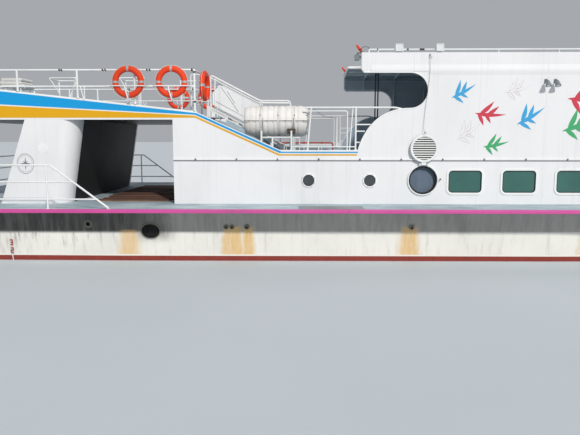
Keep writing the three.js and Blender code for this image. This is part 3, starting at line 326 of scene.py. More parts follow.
class Piece:
    """One piece while it is being made: its points, its faces and each face's finish."""

    def __init__(self):
        self.points = []
        self.faces = []
        self.finishes = []

    def add(self, points, faces, finish=0):
        start = len(self.points)
        self.points.extend(Vector(p) for p in points)
        self.faces.extend([start + i for i in face] for face in faces)
        self.finishes.extend([finish] * len(faces))
        return self

    def block(self, low, high, finish=0):
        points = [
            (x, y, z)
            for x in (low[0], high[0])
            for y in (low[1], high[1])
            for z in (low[2], high[2])
        ]
        faces = [(0, 1, 3, 2), (4, 6, 7, 5), (0, 4, 5, 1), (2, 3, 7, 6), (0, 2, 6, 4), (1, 5, 7, 3)]
        return self.add(points, faces, finish)

    def plate(self, outline, near, far, finish=0, lie=on_side):
        """An outline of points given a thickness from near to far, in the view that lie names."""
        count = len(outline)
        points = [lie(u, v, w) for w in (near, far) for u, v in outline]
        faces = [tuple(range(count)), tuple(range(2 * count - 1, count - 1, -1))]
        faces += [(i, (i + 1) % count, count + (i + 1) % count, count + i) for i in range(count)]
        return self.add(points, faces, finish)

    def rim(self, outer, inner, near, far, finish=0, lie=on_side):
        """A flat frame between two outlines with the same number of points."""
        count = len(outer)
        points = [lie(u, v, w) for w in (near, far) for ring in (outer, inner) for u, v in ring]
        faces = []
        for i in range(count):
            j = (i + 1) % count
            for a, b in ((0, 1), (3, 2), (2, 0), (1, 3)):
                faces.append((a * count + i, a * count + j, b * count + j, b * count + i))
        return self.add(points, faces, finish)

    def tube(self, path, radius, sides=10, finish=0, closed=False):
        """A round bar along a path of points."""
        path = [Vector(p) for p in path]
        count = len(path)
        steps = [
            (path[(i + 1) % count] - path[i]).normalized()
            for i in range(count if closed else count - 1)
        ]
        points = []
        side = steps[0].orthogonal().normalized()
        for i, p in enumerate(path):
            before = steps[i - 1] if i or closed else steps[0]
            after = steps[min(i, len(steps) - 1)]
            along = (before + after).normalized()
            side = (side - along * side.dot(along)).normalized()
            up = along.cross(side)
            stretch = 1 / max(0.5, along.dot(after))
            bend = (after - before).normalized() if (after - before).length > 1e-6 else None
            for k in range(sides):
                angle = 2 * math.pi * k / sides
                arm = (side * math.cos(angle) + up * math.sin(angle)) * radius
                if bend:
                    arm += bend * arm.dot(bend) * (stretch - 1)
                points.append(p + arm)
        faces = []
        for i in range(count if closed else count - 1):
            a, b = i * sides, ((i + 1) % count) * sides
            faces += [(a + k, a + (k + 1) % sides, b + (k + 1) % sides, b + k) for k in range(sides)]
        if not closed:
            faces += [tuple(range(sides))[::-1], tuple((count - 1) * sides + k for k in range(sides))]
        return self.add(points, faces, finish)

    def turned(self, profile, centre, axis, sides=24, finish=0, closed=False):
        """A profile of (radius, distance) points turned about an axis through centre."""
        axis = Vector(axis).normalized()
        side = axis.orthogonal().normalized()
        up = axis.cross(side)
        points = []
        for radius, far in profile:
            for k in range(sides):
                angle = 2 * math.pi * k / sides
                arm = (side * math.cos(angle) + up * math.sin(angle)) * max(radius, 1e-4)
                points.append(Vector(centre) + axis * far + arm)
        rings = len(profile)
        faces = []
        for i in range(rings if closed else rings - 1):
            a, b = i * sides, ((i + 1) % rings) * sides
            faces += [(a + k, a + (k + 1) % sides, b + (k + 1) % sides, b + k) for k in range(sides)]
        if not closed:
            faces += [tuple(range(sides))[::-1], tuple((rings - 1) * sides + k for k in range(sides))]
        return self.add(points, faces, finish)

    def done(self, name, body, materials, slot=None, smooth=30.0, edge=0.0):
        """Makes the object, shades it, rounds its edges and lets it ride on a body."""
        mesh = bpy.data.meshes.new(name)
        mesh.from_pydata([tuple(p) for p in self.points], [], self.faces)
        shell = bmesh.new()
        shell.from_mesh(mesh)
        bmesh.ops.recalc_face_normals(shell, faces=shell.faces)
        shell.to_mesh(mesh)
        shell.free()
        for material in materials:
            mesh.materials.append(material)
        mesh.polygons.foreach_set("material_index", self.finishes)
        mesh.shade_smooth()
        mesh.set_sharp_from_angle(angle=math.radians(smooth))
        made = bpy.data.objects.new(name, mesh)
        bpy.context.scene.collection.objects.link(made)
        if edge:
            rounding = made.modifiers.new("Rounded edges", "BEVEL")
            rounding.width = edge
            rounding.segments = 2
            rounding.limit_method = "ANGLE"
            rounding.angle_limit = math.radians(40)
        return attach(made, body)


hull_flare = 0.118


def hull_side(z):
    """Half-breadth of the after hull's side at a height."""
    return 3.3 - (1.176 - z) * hull_flare


galvanised = coat("Galvanised steel", "8e9296", "5c5348", 0.25, 0.3, 0.5, 60.0, metal=0.85)
bore_soot_and_shade = finish("Pipe bore, soot and painted shade", tone("0a0a0a"), uneven(20.0, 0.75, 1.0))
outlets = Piece()
outlet_places = [
    # along, height, bore, reach of the lip, wall, height of the bore against its width
    (-12.900, 0.697, 0.203, 0.045, 0.010, 0.80),
    (-14.295, 0.851, 0.050, 0.03, 0.016, 1.0),
    (-11.218, 0.785, 0.022, 0.05, 0.013, 1.0),
    (-11.085, 0.785, 0.022, 0.05, 0.013, 1.0),
    (-10.753, 0.785, 0.026, 0.05, 0.014, 1.0),
    (-7.097, 0.785, 0.026, 0.05, 0.014, 1.0),
    (-2.300, 0.800, 0.030, 0.05, 0.015, 1.0),
    (2.600, 0.790, 0.026, 0.05, 0.014, 1.0),
]
for side in (-1, 1):
    for x, z, bore, reach, wall, flat in outlet_places:
        centre = (x, side * hull_side(z), z)
        first = len(outlets.points)
        lip = [
            (bore, reach), (bore + wall, reach), (bore + wall * 1.2, 0.012), (bore + wall * 2.6, 0.008),
            (bore + wall * 2.6, -0.02), (bore, -0.02)
        ]
        liner = [
            (bore - 0.005, -0.02), (bore - 0.005, reach - 0.003),
            (bore + 0.001, reach - 0.003), (bore + 0.001, -0.02)
        ]
        outward = (0, side, -hull_flare)
        outlets.turned(lip, centre, outward, 40, 0, closed=True)
        # The liner and a disc just inside the mouth are black: soot in the exhausts, and painted shade for
        # the depth of every pipe.
        outlets.turned(liner, centre, outward, 40, 1, closed=True)
        outlets.turned([(bore - 0.001, 0.008), (bore * 0.6, 0.007), (0, 0.006)], centre, outward, 40, 1)
        for p in outlets.points[first:]:
            p.z = z + (p.z - z) * flat
outlets.done(
    "hull_outlets", "boat", [coat("Sooted lip", "8d8878", "1d1c1a", 0.7, 0.7, 0.6), bore_soot_and_shade], "steel"
)

draught_paint = coat("Draught mark red", "a32a24", "6d685c", 0.1, 0.2)
draught_white = coat("Draught mark white", "e8e6e0", "6d685c", 0.1, 0.2)
numeral_strokes = {
    # each stroke from one corner to another of a box two wide and four high
    "1": [((1, 0), (1, 4)), ((0.4, 3.3), (1, 4))],
    "2": [((0, 4), (2, 4)), ((2, 4), (2, 2)), ((2, 2), (0, 2)), ((0, 2), (0, 0)), ((0, 0), (2, 0))],
    "3": [((0, 4), (2, 4)), ((2, 4), (2, 0)), ((0.4, 2), (2, 2)), ((0, 0), (2, 0))],
}
draught_marks = Piece()
for side in (-1, 1):
    for numeral, z, paint in (("3", 0.365, 0), ("2", 0.182, 0), ("1", 0.004, 1)):
        for (u0, v0), (u1, v1) in numeral_strokes[numeral]:
            step = 0.028
            ends = [
                (-16.08 - side * (u - 1) * step, side * (hull_side(z + v * step) + 0.002), z + v * step)
                for u, v in ((u0, v0), (u1, v1))
            ]
            draught_marks.tube(ends, 0.011, 6, paint)
draught_marks.done("draught_marks", "boat", [draught_paint, draught_white], "hull_paint")

# Main deck: steel plate with a sanded blue-grey coat, that overhangs the hull side.
# Its edge is a flat bar painted magenta, and the cross passage is floored with loose boards.
main_deck_top = 1.2505
stations = [
    # along, deck half-breadth, deck height
    (-19.0, 3.45, 1.25),
    (-17.5, 3.90, 1.25),
    (-12.0, 3.90, 1.25),
    (-4.0, 3.90, 1.25),
    (4.0, 3.90, 1.25),
    (9.5, 3.68, 1.25),
    (13.0, 2.98, 1.50),
    (16.0, 1.88, 1.85),
    (18.0, 0.80, 2.15),
    (19.0, 0.16, 2.35),
]


def deck_at(x):
    """Half-breadth and height of the deck edge at a place along the boat."""
    for (x0, y0, z0), (x1, y1, z1) in zip(stations, stations[1:]):
        if x <= x1:
            share = (x - x0) / (x1 - x0)
            return y0 + (y1 - y0) * share, z0 + (z1 - z0) * share
    return stations[-1][1:]


def deck_finish(name, paint):
    """A deck coat with pale scuffs and damp patches."""
    material = coat(name, paint, "5f6a6e", 0.0, 0.45, 0.55, 90.0, depth=0.004)
    tree = material.node_tree
    shader = tree.nodes["Principled BSDF"]
    place = wire(tree, "TexCoord").outputs["Object"]
    colour = shader.inputs["Base Color"].links[0].from_socket
    scuffs = ramp(tree, noise(tree, place, 1.6, 9.0, 0.72, (0.5, 1.4, 1.0)), 0.47, 0.66, 0.0, 0.55)
    colour = mix(tree, scuffs, colour, tone("dfe6e8"))
    damp = ramp(tree, noise(tree, place, 0.9, 6.0, 0.6, (0.4, 1.0, 1.0)), 0.52, 0.62)
    colour = mix(tree, calc(tree, "MULTIPLY", damp, 0.35), colour, tone("6b7c86"))
    tree.links.new(colour, shader.inputs["Base Color"])
    return material


deck_coat = deck_finish("Sanded deck coat", "a9bcc6")
dress(deck_coat, "main_deck", "mid_deck", "saloon_steps", "engine_hatch_lid", "bow_hatch_lid")
dress(
    coat("Gangway plate", "9aa0a4", "5c5348", 0.0, 0.6, 0.5, 80.0, metal=0.7),
    "gangway_plate_starboard", "gangway_plate_port"
)

magenta = coat("Deck edge magenta", "c94a97", "6b4a5c", 0.35, 0.3, 0.5)
edge_bar = Piece()
for side in (-1, 1):
    section = [
        (-0.004, -0.078), (0.016, -0.078), (0.016, -0.010), (0.010, 0.004),
        (-0.030, 0.006), (-0.030, -0.004), (-0.004, -0.004)
    ]
    rows = []
    for x, y, z in stations:
        rows.append([(x, side * (y + out), z + up) for out, up in section])
    count = len(section)
    faces = [tuple(range(count)), tuple((len(rows) - 1) * count + k for k in range(count))[::-1]]
    for i in range(len(rows) - 1):
        faces += [
            (
                i * count + k, i * count + (k + 1) % count,
                (i + 1) * count + (k + 1) % count, (i + 1) * count + k
            )
            for k in range(count)
        ]
    edge_bar.add([p for row in rows for p in row], faces)
edge_bar.plate(
    [(-3.45, 1.172), (3.45, 1.172), (3.45, 1.256), (-3.45, 1.256)], -19.016, -19.0, lie=on_section
)
edge_bar.done("deck_edge_bar", "boat", [magenta], "deck_paint", edge=0.004)

random.seed(4)
board_tones = [
    coat(f"Deck board {i}", paint, "2e231c", 0.0, 0.6, 0.75, 45.0, depth=0.004)
    for i, paint in enumerate(("6e4434", "7d5a45", "5a3a30", "8a6a52"))
]
boards = Piece()
for i in range(26):
    y = -2.28 + i * 0.178
    x0 = -14.48 + random.uniform(0.0, 0.12)
    boards.block(
        (x0, y, 1.251), (-12.62 + random.uniform(-0.1, 0.08), y + 0.16, 1.278 + random.uniform(0, 0.008)),
        random.randrange(4)
    )
for x in (-14.2, -13.5, -12.85):
    boards.block((x, -2.26, main_deck_top), (x + 0.07, 2.3, 1.252), 1)
boards.done("passage_boards", "boat", board_tones, edge=0.003)

dark_iron = coat("Bitt black", "2a2b2c", "6b4a34", 0.3, 0.5, 0.5, 60.0)
caps = Piece()
for x, y in ((-18.3, 2.9), (-2.2, 3.5), (9.8, 3.25), (15.0, 1.75)):
    for side in (-1, 1):
        for dx in (-0.19, 0.19):
            z = deck_at(x)[1]
            caps.turned(
                [(0.083, 0.05), (0.083, 0.30), (0.108, 0.31), (0.108, 0.335), (0.09, 0.345), (0, 0.346)],
                (x + dx, side * y, z), (0, 0, 1), 24
            )
            caps.turned(
                [(0.0, 0.041), (0.10, 0.041), (0.084, 0.06), (0, 0.06)],
                (x + dx, side * y, z), (0, 0, 1), 24
            )
caps.done("bitt_caps", "boat", [dark_iron], "deck_paint", edge=0.003)

# Side walls of the cabins: flat steel plate with a half-round knuckle bar along it.
# Each has ports and windows in pressed frames, and a round air intake with a hinged cover.
wall_face = 2.75
white_coat = coat("White topside coat", "e6e6e8", "9a9c9c", 0.13, 0.10, 0.36, pitch=1.48, depth=0.003)
dress(
    white_coat, "wall_starboard", "wall_port", "front_screen", "casing_starboard",
    "casing_port", "sun_deck", "roof", "mast", "radar_scanner"
)

window_glass = finish(
    "Tinted window glass",
    mottled("2f6d62", "1d4a48", 1.3, 3.0),
    uneven(6.0, 0.04, 0.12),
    Coat_Weight=0.6,
)
rubber = coat("Window rubber", "1c1d1f", "4a4a48", 0.1, 0.2, 0.7, 80.0)
frame_white = coat("Window frame enamel", "eef0f0", "8f918e", 0.15, 0.15, 0.3, 60.0)


def rounded(x0, x1, z0, z1, radius, steps=5):
    """Outline of a rounded rectangle."""
    outline = []
    for cx, cz, start in (
        (x1 - radius, z0 + radius, -90), (x1 - radius, z1 - radius, 0), (x0 + radius, z1 - radius, 90),
        (x0 + radius, z0 + radius, 180)
    ):
        for k in range(steps + 1):
            angle = math.radians(start + 90 * k / steps)
            outline.append((cx + radius * math.cos(angle), cz + radius * math.sin(angle)))
    return outline


def circle(x, z, radius, steps=32):
    """Outline of a circle."""
    return [
        (x + radius * math.cos(2 * math.pi * k / steps), z + radius * math.sin(2 * math.pi * k / steps))
        for k in range(steps)
    ]


def window(piece, x0, x1, z0, z1, radius, face, side, lie=on_side):
    """A pressed frame, its rubber and a pane, in an opening of a wall whose outer face is at face."""
    rim = 0.045
    outer = rounded(x0 - rim, x1 + rim, z0 - rim, z1 + rim, radius + rim)
    hole = rounded(x0 + 0.004, x1 - 0.004, z0 + 0.004, z1 - 0.004, radius - 0.004)
    bead = rounded(x0 + 0.022, x1 - 0.022, z0 + 0.022, z1 - 0.022, radius - 0.022)
    piece.rim(outer, hole, face + side * 0.001, face + side * 0.016, 0, lie)
    piece.rim(hole, bead, face - side * 0.03, face + side * 0.009, 1, lie)
    piece.plate(
        rounded(x0 + 0.018, x1 - 0.018, z0 + 0.018, z1 - 0.018, radius - 0.018),
        face - side * 0.022, face - side * 0.012, 2, lie
    )


for side, name in both_sides:
    windows = Piece()
    for i in range(10):
        window(windows, -6.2 + i * 1.22, -5.44 + i * 1.22, 1.51, 2.02, 0.09, side * wall_face, side)
    for i in range(6):
        window(windows, -2.3 + i * 1.4, -1.15 + i * 1.4, 2.98, 3.76, 0.13, side * wall_face, side)
    windows.done(f"windows_{name}", "boat", [frame_white, rubber, window_glass], edge=0.003)

port_glass = finish(
    "Port glass",
    mottled("272e34", "4c5358", 5.0, 6.0, 0.7),
    uneven(9.0, 0.08, 0.25),
    Coat_Weight=0.5,
)
ports = Piece()
for side in (-1, 1):
    face = side * wall_face
    for x in (-9.377, -7.984):
        z = 1.787
        lip = [
            (0.131, -0.03), (0.131, 0.014), (0.140, 0.020), (0.158, 0.018),
            (0.168, 0.008), (0.168, 0.0), (0.168, -0.002)
        ]
        ports.turned(lip, (x, face, z), (0, side, 0), 40, 0, closed=True)
        ports.rim(
            circle(x, z, 0.132, 40), circle(x, z, 0.120, 40), face - side * 0.03, face + side * 0.004, 1
        )
        ports.plate(circle(x, z, 0.124, 40), face - side * 0.026, face - side * 0.016, 2)
        for k in range(8):
            angle = math.radians(22.5 + 45 * k)
            ports.turned(
                [(0.0085, 0.01), (0.0085, 0.022), (0.005, 0.026), (0, 0.026)],
                (x + 0.15 * math.cos(angle), face, z + 0.15 * math.sin(angle)), (0, side, 0), 8, 3
            )
ports.done("round_ports", "boat", [frame_white, rubber, port_glass, galvanised])


def eased(t, *corners):
    """A place on the smooth curve that four corners draw, at a share t of its way."""
    start, first, second, end = (1 - t) ** 3, 3 * (1 - t) ** 2 * t, 3 * (1 - t) * t ** 2, t ** 3
    return tuple(start * p + first * q + second * r + end * s for p, q, r, s in zip(*corners))


# Knuckle bar studs, and the rolled edge that stiffens the curved cut of the verandah wall.
wall_trim = Piece()
for side in (-1, 1):
    for i in range(20):
        x = -11.95 + i * 0.934
        wall_trim.turned(
            [(0.020, 0.0), (0.020, 0.022), (0.012, 0.032), (0, 0.033)],
            (x, side * 2.776, 2.268), (0, side * 0.9, 0.45), 10, 1
        )
    curve = [(-10.03, 2.464), (-8.256, 2.464)]
    for k in range(1, 17):
        curve.append(eased(k / 16, (-8.256, 2.48), (-8.06, 3.13), (-7.64, 3.405), (-7.105, 3.404)))
    for k in range(1, 25):
        angle = math.radians(-90 + 180 * k / 24)
        curve.append((-7.105 + 0.398 * math.cos(angle), 3.802 + 0.398 * math.sin(angle)))
    curve.append((-8.16, 4.204))
    wall_trim.tube([(x, side * 2.742, z) for x, z in curve], 0.016, 10)
wall_trim.done("wall_trim", "boat", [frame_white, galvanised], "white_paint")

# Painted bands along the topside: a blue and an ochre stripe that follow the bulwark, bend down the
# slope beside the stair and run level along the middle deck's coaming. They are thin enamel films.
stripe_blue = coat("Stripe blue", "0c97d6", "4f7f9a", 0.15, 0.12, 0.5, 40.0, Specular_IOR_Level=0.25)
stripe_ochre = coat("Stripe ochre", "dca412", "9c8238", 0.15, 0.12, 0.5, 40.0, Specular_IOR_Level=0.25)
bulwark_corner = Vector((-11.894, 3.319))
slope_foot = Vector((-10.03, 2.48))
coaming_end = -8.256
bulwark_rise = 0.1103


def along_bulwark(x, z_at_corner, rise):
    """A point of a line that rises aft from the bulwark's corner."""
    return (x, z_at_corner + (bulwark_corner.x - x) * rise)


slope_down = (slope_foot - bulwark_corner).normalized()
slope_in = Vector((slope_down.y, -slope_down.x))


def beside_slope(offset, level_offset, bulwark_line):
    """The points of a stripe's edge: along the bulwark, down the slope and along the coaming."""
    start = bulwark_corner + slope_in * offset
    level_z = slope_foot.y - level_offset
    reach = (level_z - start.y) / slope_down.y
    aft = along_bulwark(-18.0, *bulwark_line)
    share = (bulwark_line[0] - start.y) / slope_down.y
    corner = start + slope_down * share
    return [aft, tuple(corner), tuple(start + slope_down * reach)]


stripes = Piece()
for side in (-1, 1):
    for top, foot, fore_end, finish_index in (
        ((0.020, 0.041, (3.306, bulwark_rise)), (0.066, 0.068, (3.272, 0.0522)), 0.015, 0),
        ((0.088, 0.095, (3.250, 0.0507)), (0.128, 0.127, (3.205, 0.0)), 0.035, 1),
    ):
        upper = beside_slope(*top) + [(coaming_end - fore_end + 0.02, slope_foot.y - top[1])]
        lower = beside_slope(*foot) + [(coaming_end - fore_end, slope_foot.y - foot[1])]
        for (a, b), (c, d) in zip(zip(upper, upper[1:]), zip(lower, lower[1:])):
            pair = (side * 2.7495, side * 2.7525)
            stripes.plate([c, d, b, a], *pair, finish_index)
stripes.done("side_stripes", "boat", [stripe_blue, stripe_ochre], smooth=5.0)

# Round air intake of the engine room: a rolled steel lip with a rubber seal and a baffle plate inside.
# Its louvred cover hangs from two lugs and is tied up out of the way above the opening.
louvre_white = coat("Louvre enamel", "eceeee", "8d8f8c", 0.25, 0.2, 0.34, 50.0)
baffle_shade_grey = coat("Baffle plate, painted shade", "5e6e80", "3c464f", 0.3, 0.4, 0.5, 30.0)
vent_x = -6.78
vent_z = 1.80
vent_hinge_z = 2.157
vent_reach = 0.357
lip = Piece()
for side in (-1, 1):
    face = side * wall_face
    lip.turned(
        [
            (0.324, -0.09), (0.324, 0.030), (0.330, 0.038), (0.346, 0.038), (0.352, 0.030),
            (0.356, 0.0), (0.356, -0.002), (0.330, -0.09)
        ],
        (vent_x, face, vent_z), (0, side, 0), 64, 0, closed=True
    )
    lip.turned(
        [
            (0.322, -0.06), (0.290, -0.06), (0.286, 0.0), (0.290, 0.018),
            (0.300, 0.026), (0.312, 0.026), (0.322, 0.018)
        ],
        (vent_x, face, vent_z), (0, side, 0), 64, 1, closed=True
    )
    # The baffle plate's dark blue-grey is painted shade inside the opening.
    lip.turned(
        [(0.0, -0.078), (0.318, -0.078), (0.318, -0.070), (0.0, -0.068)],
        (vent_x, face, vent_z), (0, side, 0), 64, 2
    )
    for k in range(10):
        angle = math.radians(36 * k + 18)
        bolt = (vent_x + 0.268 * math.cos(angle), face, vent_z + 0.268 * math.sin(angle))
        lip.turned([(0.012, -0.07), (0.012, -0.058), (0, -0.056)], bolt, (0, side, 0), 6, 3)
    # The dog that holds the cover shut, and its pad, at the opening's forward side.
    hook = [(vent_x + 0.40, side * 2.752, vent_z + 0.02), (vent_x + 0.40, side * 2.80, vent_z + 0.02),
            (vent_x + 0.37, side * 2.815, vent_z + 0.0), (vent_x + 0.35, side * 2.80, vent_z - 0.03)]
    lip.tube(hook, 0.008, 8, 3)
    lip.turned([(0.022, 0.0), (0.022, 0.006), (0, 0.006)], hook[0], (0, side, 0), 16, 3)
lip.done("vent_lips", "boat", [frame_white, rubber, baffle_shade_grey, galvanised], "white_paint")

for side, name in both_sides:
    hinge_y = side * 2.82
    centre = (vent_x, hinge_y, vent_hinge_z + vent_reach)
    cover = Piece()
    ring = [
        (0.262, -0.022), (0.262, 0.022), (0.276, 0.026), (0.300, 0.026), (0.309, 0.020), (0.312, 0.008),
        (0.312, -0.020), (0.304, -0.027), (0.270, -0.027)
    ]
    cover.turned(ring, centre, (0, side, 0), 72, 0, closed=True)
    # A thin black disc behind the slats is painted shade: it darkens the gaps between them.
    cover.turned(
        [(0.0, -0.024), (0.264, -0.024), (0.264, -0.021), (0.0, -0.021)], centre, (0, side, 0), 48, 1
    )
    slats = 10
    pitch = 0.051
    for i in range(slats):
        z = (i - (slats - 1) / 2) * pitch
        half = math.sqrt(0.264 ** 2 - z ** 2) - 0.002
        low, high = centre[2] + z - 0.0115, centre[2] + z + 0.0115
        blade = [
            (hinge_y - side * 0.006, high), (hinge_y + side * 0.018, low),
            (hinge_y + side * 0.021, low + 0.003), (hinge_y - side * 0.003, high + 0.003)
        ]
        cover.plate(blade, centre[0] - half, centre[0] + half, 0, lie=on_section)
    cover.plate(
        rounded(vent_x - 0.055, vent_x + 0.055, vent_hinge_z - 0.012, centre[2] - 0.292, 0.010),
        hinge_y - 0.012, hinge_y + 0.012, 0
    )
    cover.tube(
        [(vent_x - 0.11, hinge_y, vent_hinge_z), (vent_x + 0.11, hinge_y, vent_hinge_z)], 0.011, 16, 2
    )
    catch = [
        (vent_x, hinge_y, centre[2] + 0.300), (vent_x, hinge_y, centre[2] + 0.345),
        (vent_x + 0.018, hinge_y, centre[2] + 0.362), (vent_x + 0.036, hinge_y, centre[2] + 0.345)
    ]
    cover.tube(catch, 0.008, 10, 2)
    cover.plate(
        rounded(vent_x - 0.03, vent_x + 0.03, centre[2] + 0.285, centre[2] + 0.318, 0.012),
        hinge_y + side * 0.018, hinge_y + side * 0.032, 0
    )
    made = cover.done(
        f"vent_louvre_{name}", f"vent_{name}", [louvre_white, rubber, galvanised], "white_paint"
    )
    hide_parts(f"vent_cover_{name}")

# Front screen: a raked plate with five wheelhouse windows.
# Every second one has a wiper, pivoted at its sill.
rake = 0.54
screen_foot = 8.9
rake_length = math.hypot(1.0, rake)


def on_screen(u, v, w):
    """A place on the raked screen: u across, v up, w out from its face."""
    return (screen_foot - (v - 1.25) * rake + w / rake_length, u, v + w * rake / rake_length)


screen_windows = Piece()
for i in range(5):
    y = (i - 2) * 1.01
    window(screen_windows, y - 0.43, y + 0.43, 3.0, 3.85, 0.06, 0.0, 1, on_screen)
screen_windows.done("windows_front", "boat", [frame_white, rubber, window_glass], edge=0.003)
wipers = Piece()
for i in (0, 2, 4):
    y = (i - 2) * 1.01
    pivot = on_screen(y, 2.90, 0.03)
    tip = on_screen(y + 0.20, 3.34, 0.05)
    wipers.turned([(0.022, -0.03), (0.022, 0.01), (0.012, 0.02), (0, 0.02)], pivot, (1, 0, rake), 14)
    wipers.tube([pivot, tip], 0.006, 8)
    wipers.tube([on_screen(y + 0.12, 3.12, 0.02), on_screen(y + 0.28, 3.56, 0.02)], 0.009, 6)
wipers.done("window_wipers", "boat", [dark_iron])

# Bulkheads across the boat: ply panels with aluminium cover strips, their face near-black as painted shade
# for the shadowed passage and verandah.
# The doors are hollow white leaves on two lift-off hinges, with a glass pane and a lever handle.
laminate = coat("Near-black panel, painted shade", "0b0c0e", "1c1c1c", 0.12, 0.12, 0.55, 25.0)
strip_metal = coat("Cover strip", "a4abb0", "5c5348", 0.1, 0.2, 0.35, 60.0, metal=0.8)
dress(laminate, "saloon_bulkhead", "verandah_bulkhead", "wheelhouse_bulkhead", "passage_bulkhead")
strips = Piece()
for x, low, high in ((-12.4597, 1.25, 3.16), (-5.45, 2.30, 4.21), (4.30, 2.30, 4.21)):
    for y in (-2.2, -1.5, -0.8, 0.8, 1.5, 2.2):
        for face, out in ((x, -1), (x + 0.07, 1)):
            strips.block(
                (min(face, face + out * 0.006), y - 0.02, low + 0.01),
                (max(face, face + out * 0.006), y + 0.02, high - 0.01)
            )
    for y in (-0.42, 0.40):
        for face, out in ((x, -1), (x + 0.07, 1)):
            reach = 0.008
            strips.block(
                (min(face, face + out * reach), y, low + 0.06),
                (max(face, face + out * reach), y + 0.02, low + 1.85)
            )
strips.done("cover_strips", "boat", [strip_metal])

door_white = coat("Door enamel", "dfe4e6", "8d8f8c", 0.2, 0.25, 0.35, 40.0)
dress(door_white, "saloon_door", "verandah_door")
for name in ("saloon", "verandah"):
    low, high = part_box(f"{name}_door")
    x0, x1 = high.x - 0.044, high.x
    rise = high.z - low.z
    y0, y1 = -0.392 + 0.17, 0.392 - 0.17
    z0, z1 = low.z + rise * 0.58, high.z - 0.16
    door_kit = Piece()
    for face, out in ((x0, -1), (x1, 1)):
        door_kit.rim(
            rounded(y0 - 0.03, y1 + 0.03, z0 - 0.03, z1 + 0.03, 0.03), rounded(y0, y1, z0, z1, 0.004),
            face, face + out * 0.012, 0, on_section
        )
        door_kit.plate(
            rounded(-0.36, 0.36, low.z + 0.03, low.z + 0.28, 0.01), face, face + out * 0.003, 3, on_section
        )
    door_kit.plate(
        rounded(y0 - 0.004, y1 + 0.004, z0 - 0.004, z1 + 0.004, 0.004), (x0 + x1) / 2 - 0.003,
        (x0 + x1) / 2 + 0.003, 1, on_section
    )
    door_kit.rim(
        rounded(y0, y1, z0, z1, 0.004), rounded(y0 + 0.012, y1 - 0.012, z0 + 0.012, z1 - 0.012, 0.004),
        x0 + 0.008, x1 - 0.008, 2, on_section
    )
    lever_y = -0.312
    lever_z = low.z + rise * 0.52
    door_kit.turned([(0.028, 0.0), (0.028, 0.008), (0, 0.009)], (x1, lever_y, lever_z), (1, 0, 0), 20, 3)
    door_kit.tube(
        [
            (x1, lever_y, lever_z), (x1 + 0.045, lever_y, lever_z), (x1 + 0.05, lever_y + 0.02, lever_z),
            (x1 + 0.05, lever_y + 0.12, lever_z)
        ],
        0.009, 10, 3
    )
    door_kit.done(
        f"{name}_door_fittings", f"door_{name}", [door_white, window_glass, rubber, strip_metal],
        "white_paint", edge=0.002
    )

# Sun deck: a plate on the casings with tapered bulwarks, capped by a white tube.
# Its floor is laid with grooved blue-grey rubber, held at the edges by flat bars.
rubber_floor = deck_finish("Sun deck rubber", "7f929e")
tree = rubber_floor.node_tree
shader = tree.nodes["Principled BSDF"]
spot = wire(tree, "SeparateXYZ", {0: wire(tree, "TexCoord").outputs["Object"]}).outputs
groove = calc(tree, "ABSOLUTE", calc(tree, "SINE", calc(tree, "MULTIPLY", spot["Y"], 110.0)))
bump = wire(tree, "Bump", {"Height": groove, "Strength": 0.4, "Distance": 0.004})
tree.links.new(bump.outputs[0], shader.inputs["Normal"])
sun_deck_top = 3.2405
rubber_top = 3.2475
sun_floor = Piece()
for i in range(5):
    x0 = -17.92 + i * 1.2
    sun_floor.block((x0, -2.66, sun_deck_top), (x0 + 1.185, 2.66, 3.247), 0)
for y in (-2.67, 2.64):
    sun_floor.block((-17.92, y, sun_deck_top), (-11.91, y + 0.03, 3.251), 1)
sun_floor.done("sun_deck_covering", "boat", [rubber_floor, galvanised], "deck_paint", edge=0.002)


def bent(path, radius, steps=5):
    """A path with each of its corners turned on an arc."""
    path = [Vector(p) for p in path]
    turned = [path[0]]
    for before, corner, after in zip(path, path[1:], path[2:]):
        into, out = before - corner, after - corner
        reach = min(radius, into.length * 0.48, out.length * 0.48)
        start, end = corner + into.normalized() * reach, corner + out.normalized() * reach
        for k in range(steps + 1):
            t = k / steps
            turned.append(start * (1 - t) ** 2 + corner * 2 * t * (1 - t) + end * t ** 2)
    return turned + [path[-1]]


rail_white = coat("Rail enamel", "e8ebec", "8a7b66", 0.2, 0.22, 0.32, 40.0)
lashing_dark = coat("Black lashing", "26272a", "5a5a58", 0.1, 0.3, 0.8, 200.0)


def post(piece, x, y, foot, top, radius=0.019, flange=True, lean=(0.0, 0.0)):
    """A rail post: a tube on a small welded foot plate."""
    piece.tube([(x + lean[0], y + lean[1], foot), (x, y, top)], radius, 12)
    if flange:
        base = (x + lean[0], y + lean[1], foot)
        piece.turned(
            [
                (radius + 0.022, 0.0), (radius + 0.022, 0.005), (radius + 0.004, 0.009),
                (radius + 0.002, 0.02), (radius, 0.021), (radius - 0.004, 0.0)
            ],
            base, (0, 0, 1), 16, closed=True
        )


def collar(piece, at, axis, inner, outer, half, sides=14, finish=0):
    """A short collar with broken edges, round a tube."""
    section = [(inner, -half), (outer, 0.002 - half), (outer, half - 0.002), (inner, half)]
    piece.turned(section, at, axis, sides, finish, closed=True)


def bulwark_top(x):
    """Height of the sun deck's bulwark at a place along the boat."""
    return bulwark_corner.y + (bulwark_corner.x - x) * bulwark_rise


rail_y = 2.72
rail_fore, rail_aft = -11.95, -17.97
capping = Piece()
for side in (-1, 1):
    y = side * rail_y
    capping.tube(
        bent(
            [(-11.90, y, bulwark_top(-11.90) - 0.002), (rail_aft, y, bulwark_top(rail_aft) - 0.002)], 0.1
        ),
        0.031, 14
    )
capping.tube(
    [
        (rail_aft, -rail_y, bulwark_top(rail_aft) - 0.002),
        (rail_aft, rail_y, bulwark_top(rail_aft) - 0.002)
    ],
    0.031, 14
)
capping.done("bulwark_capping", "boat", [rail_white], "white_paint")

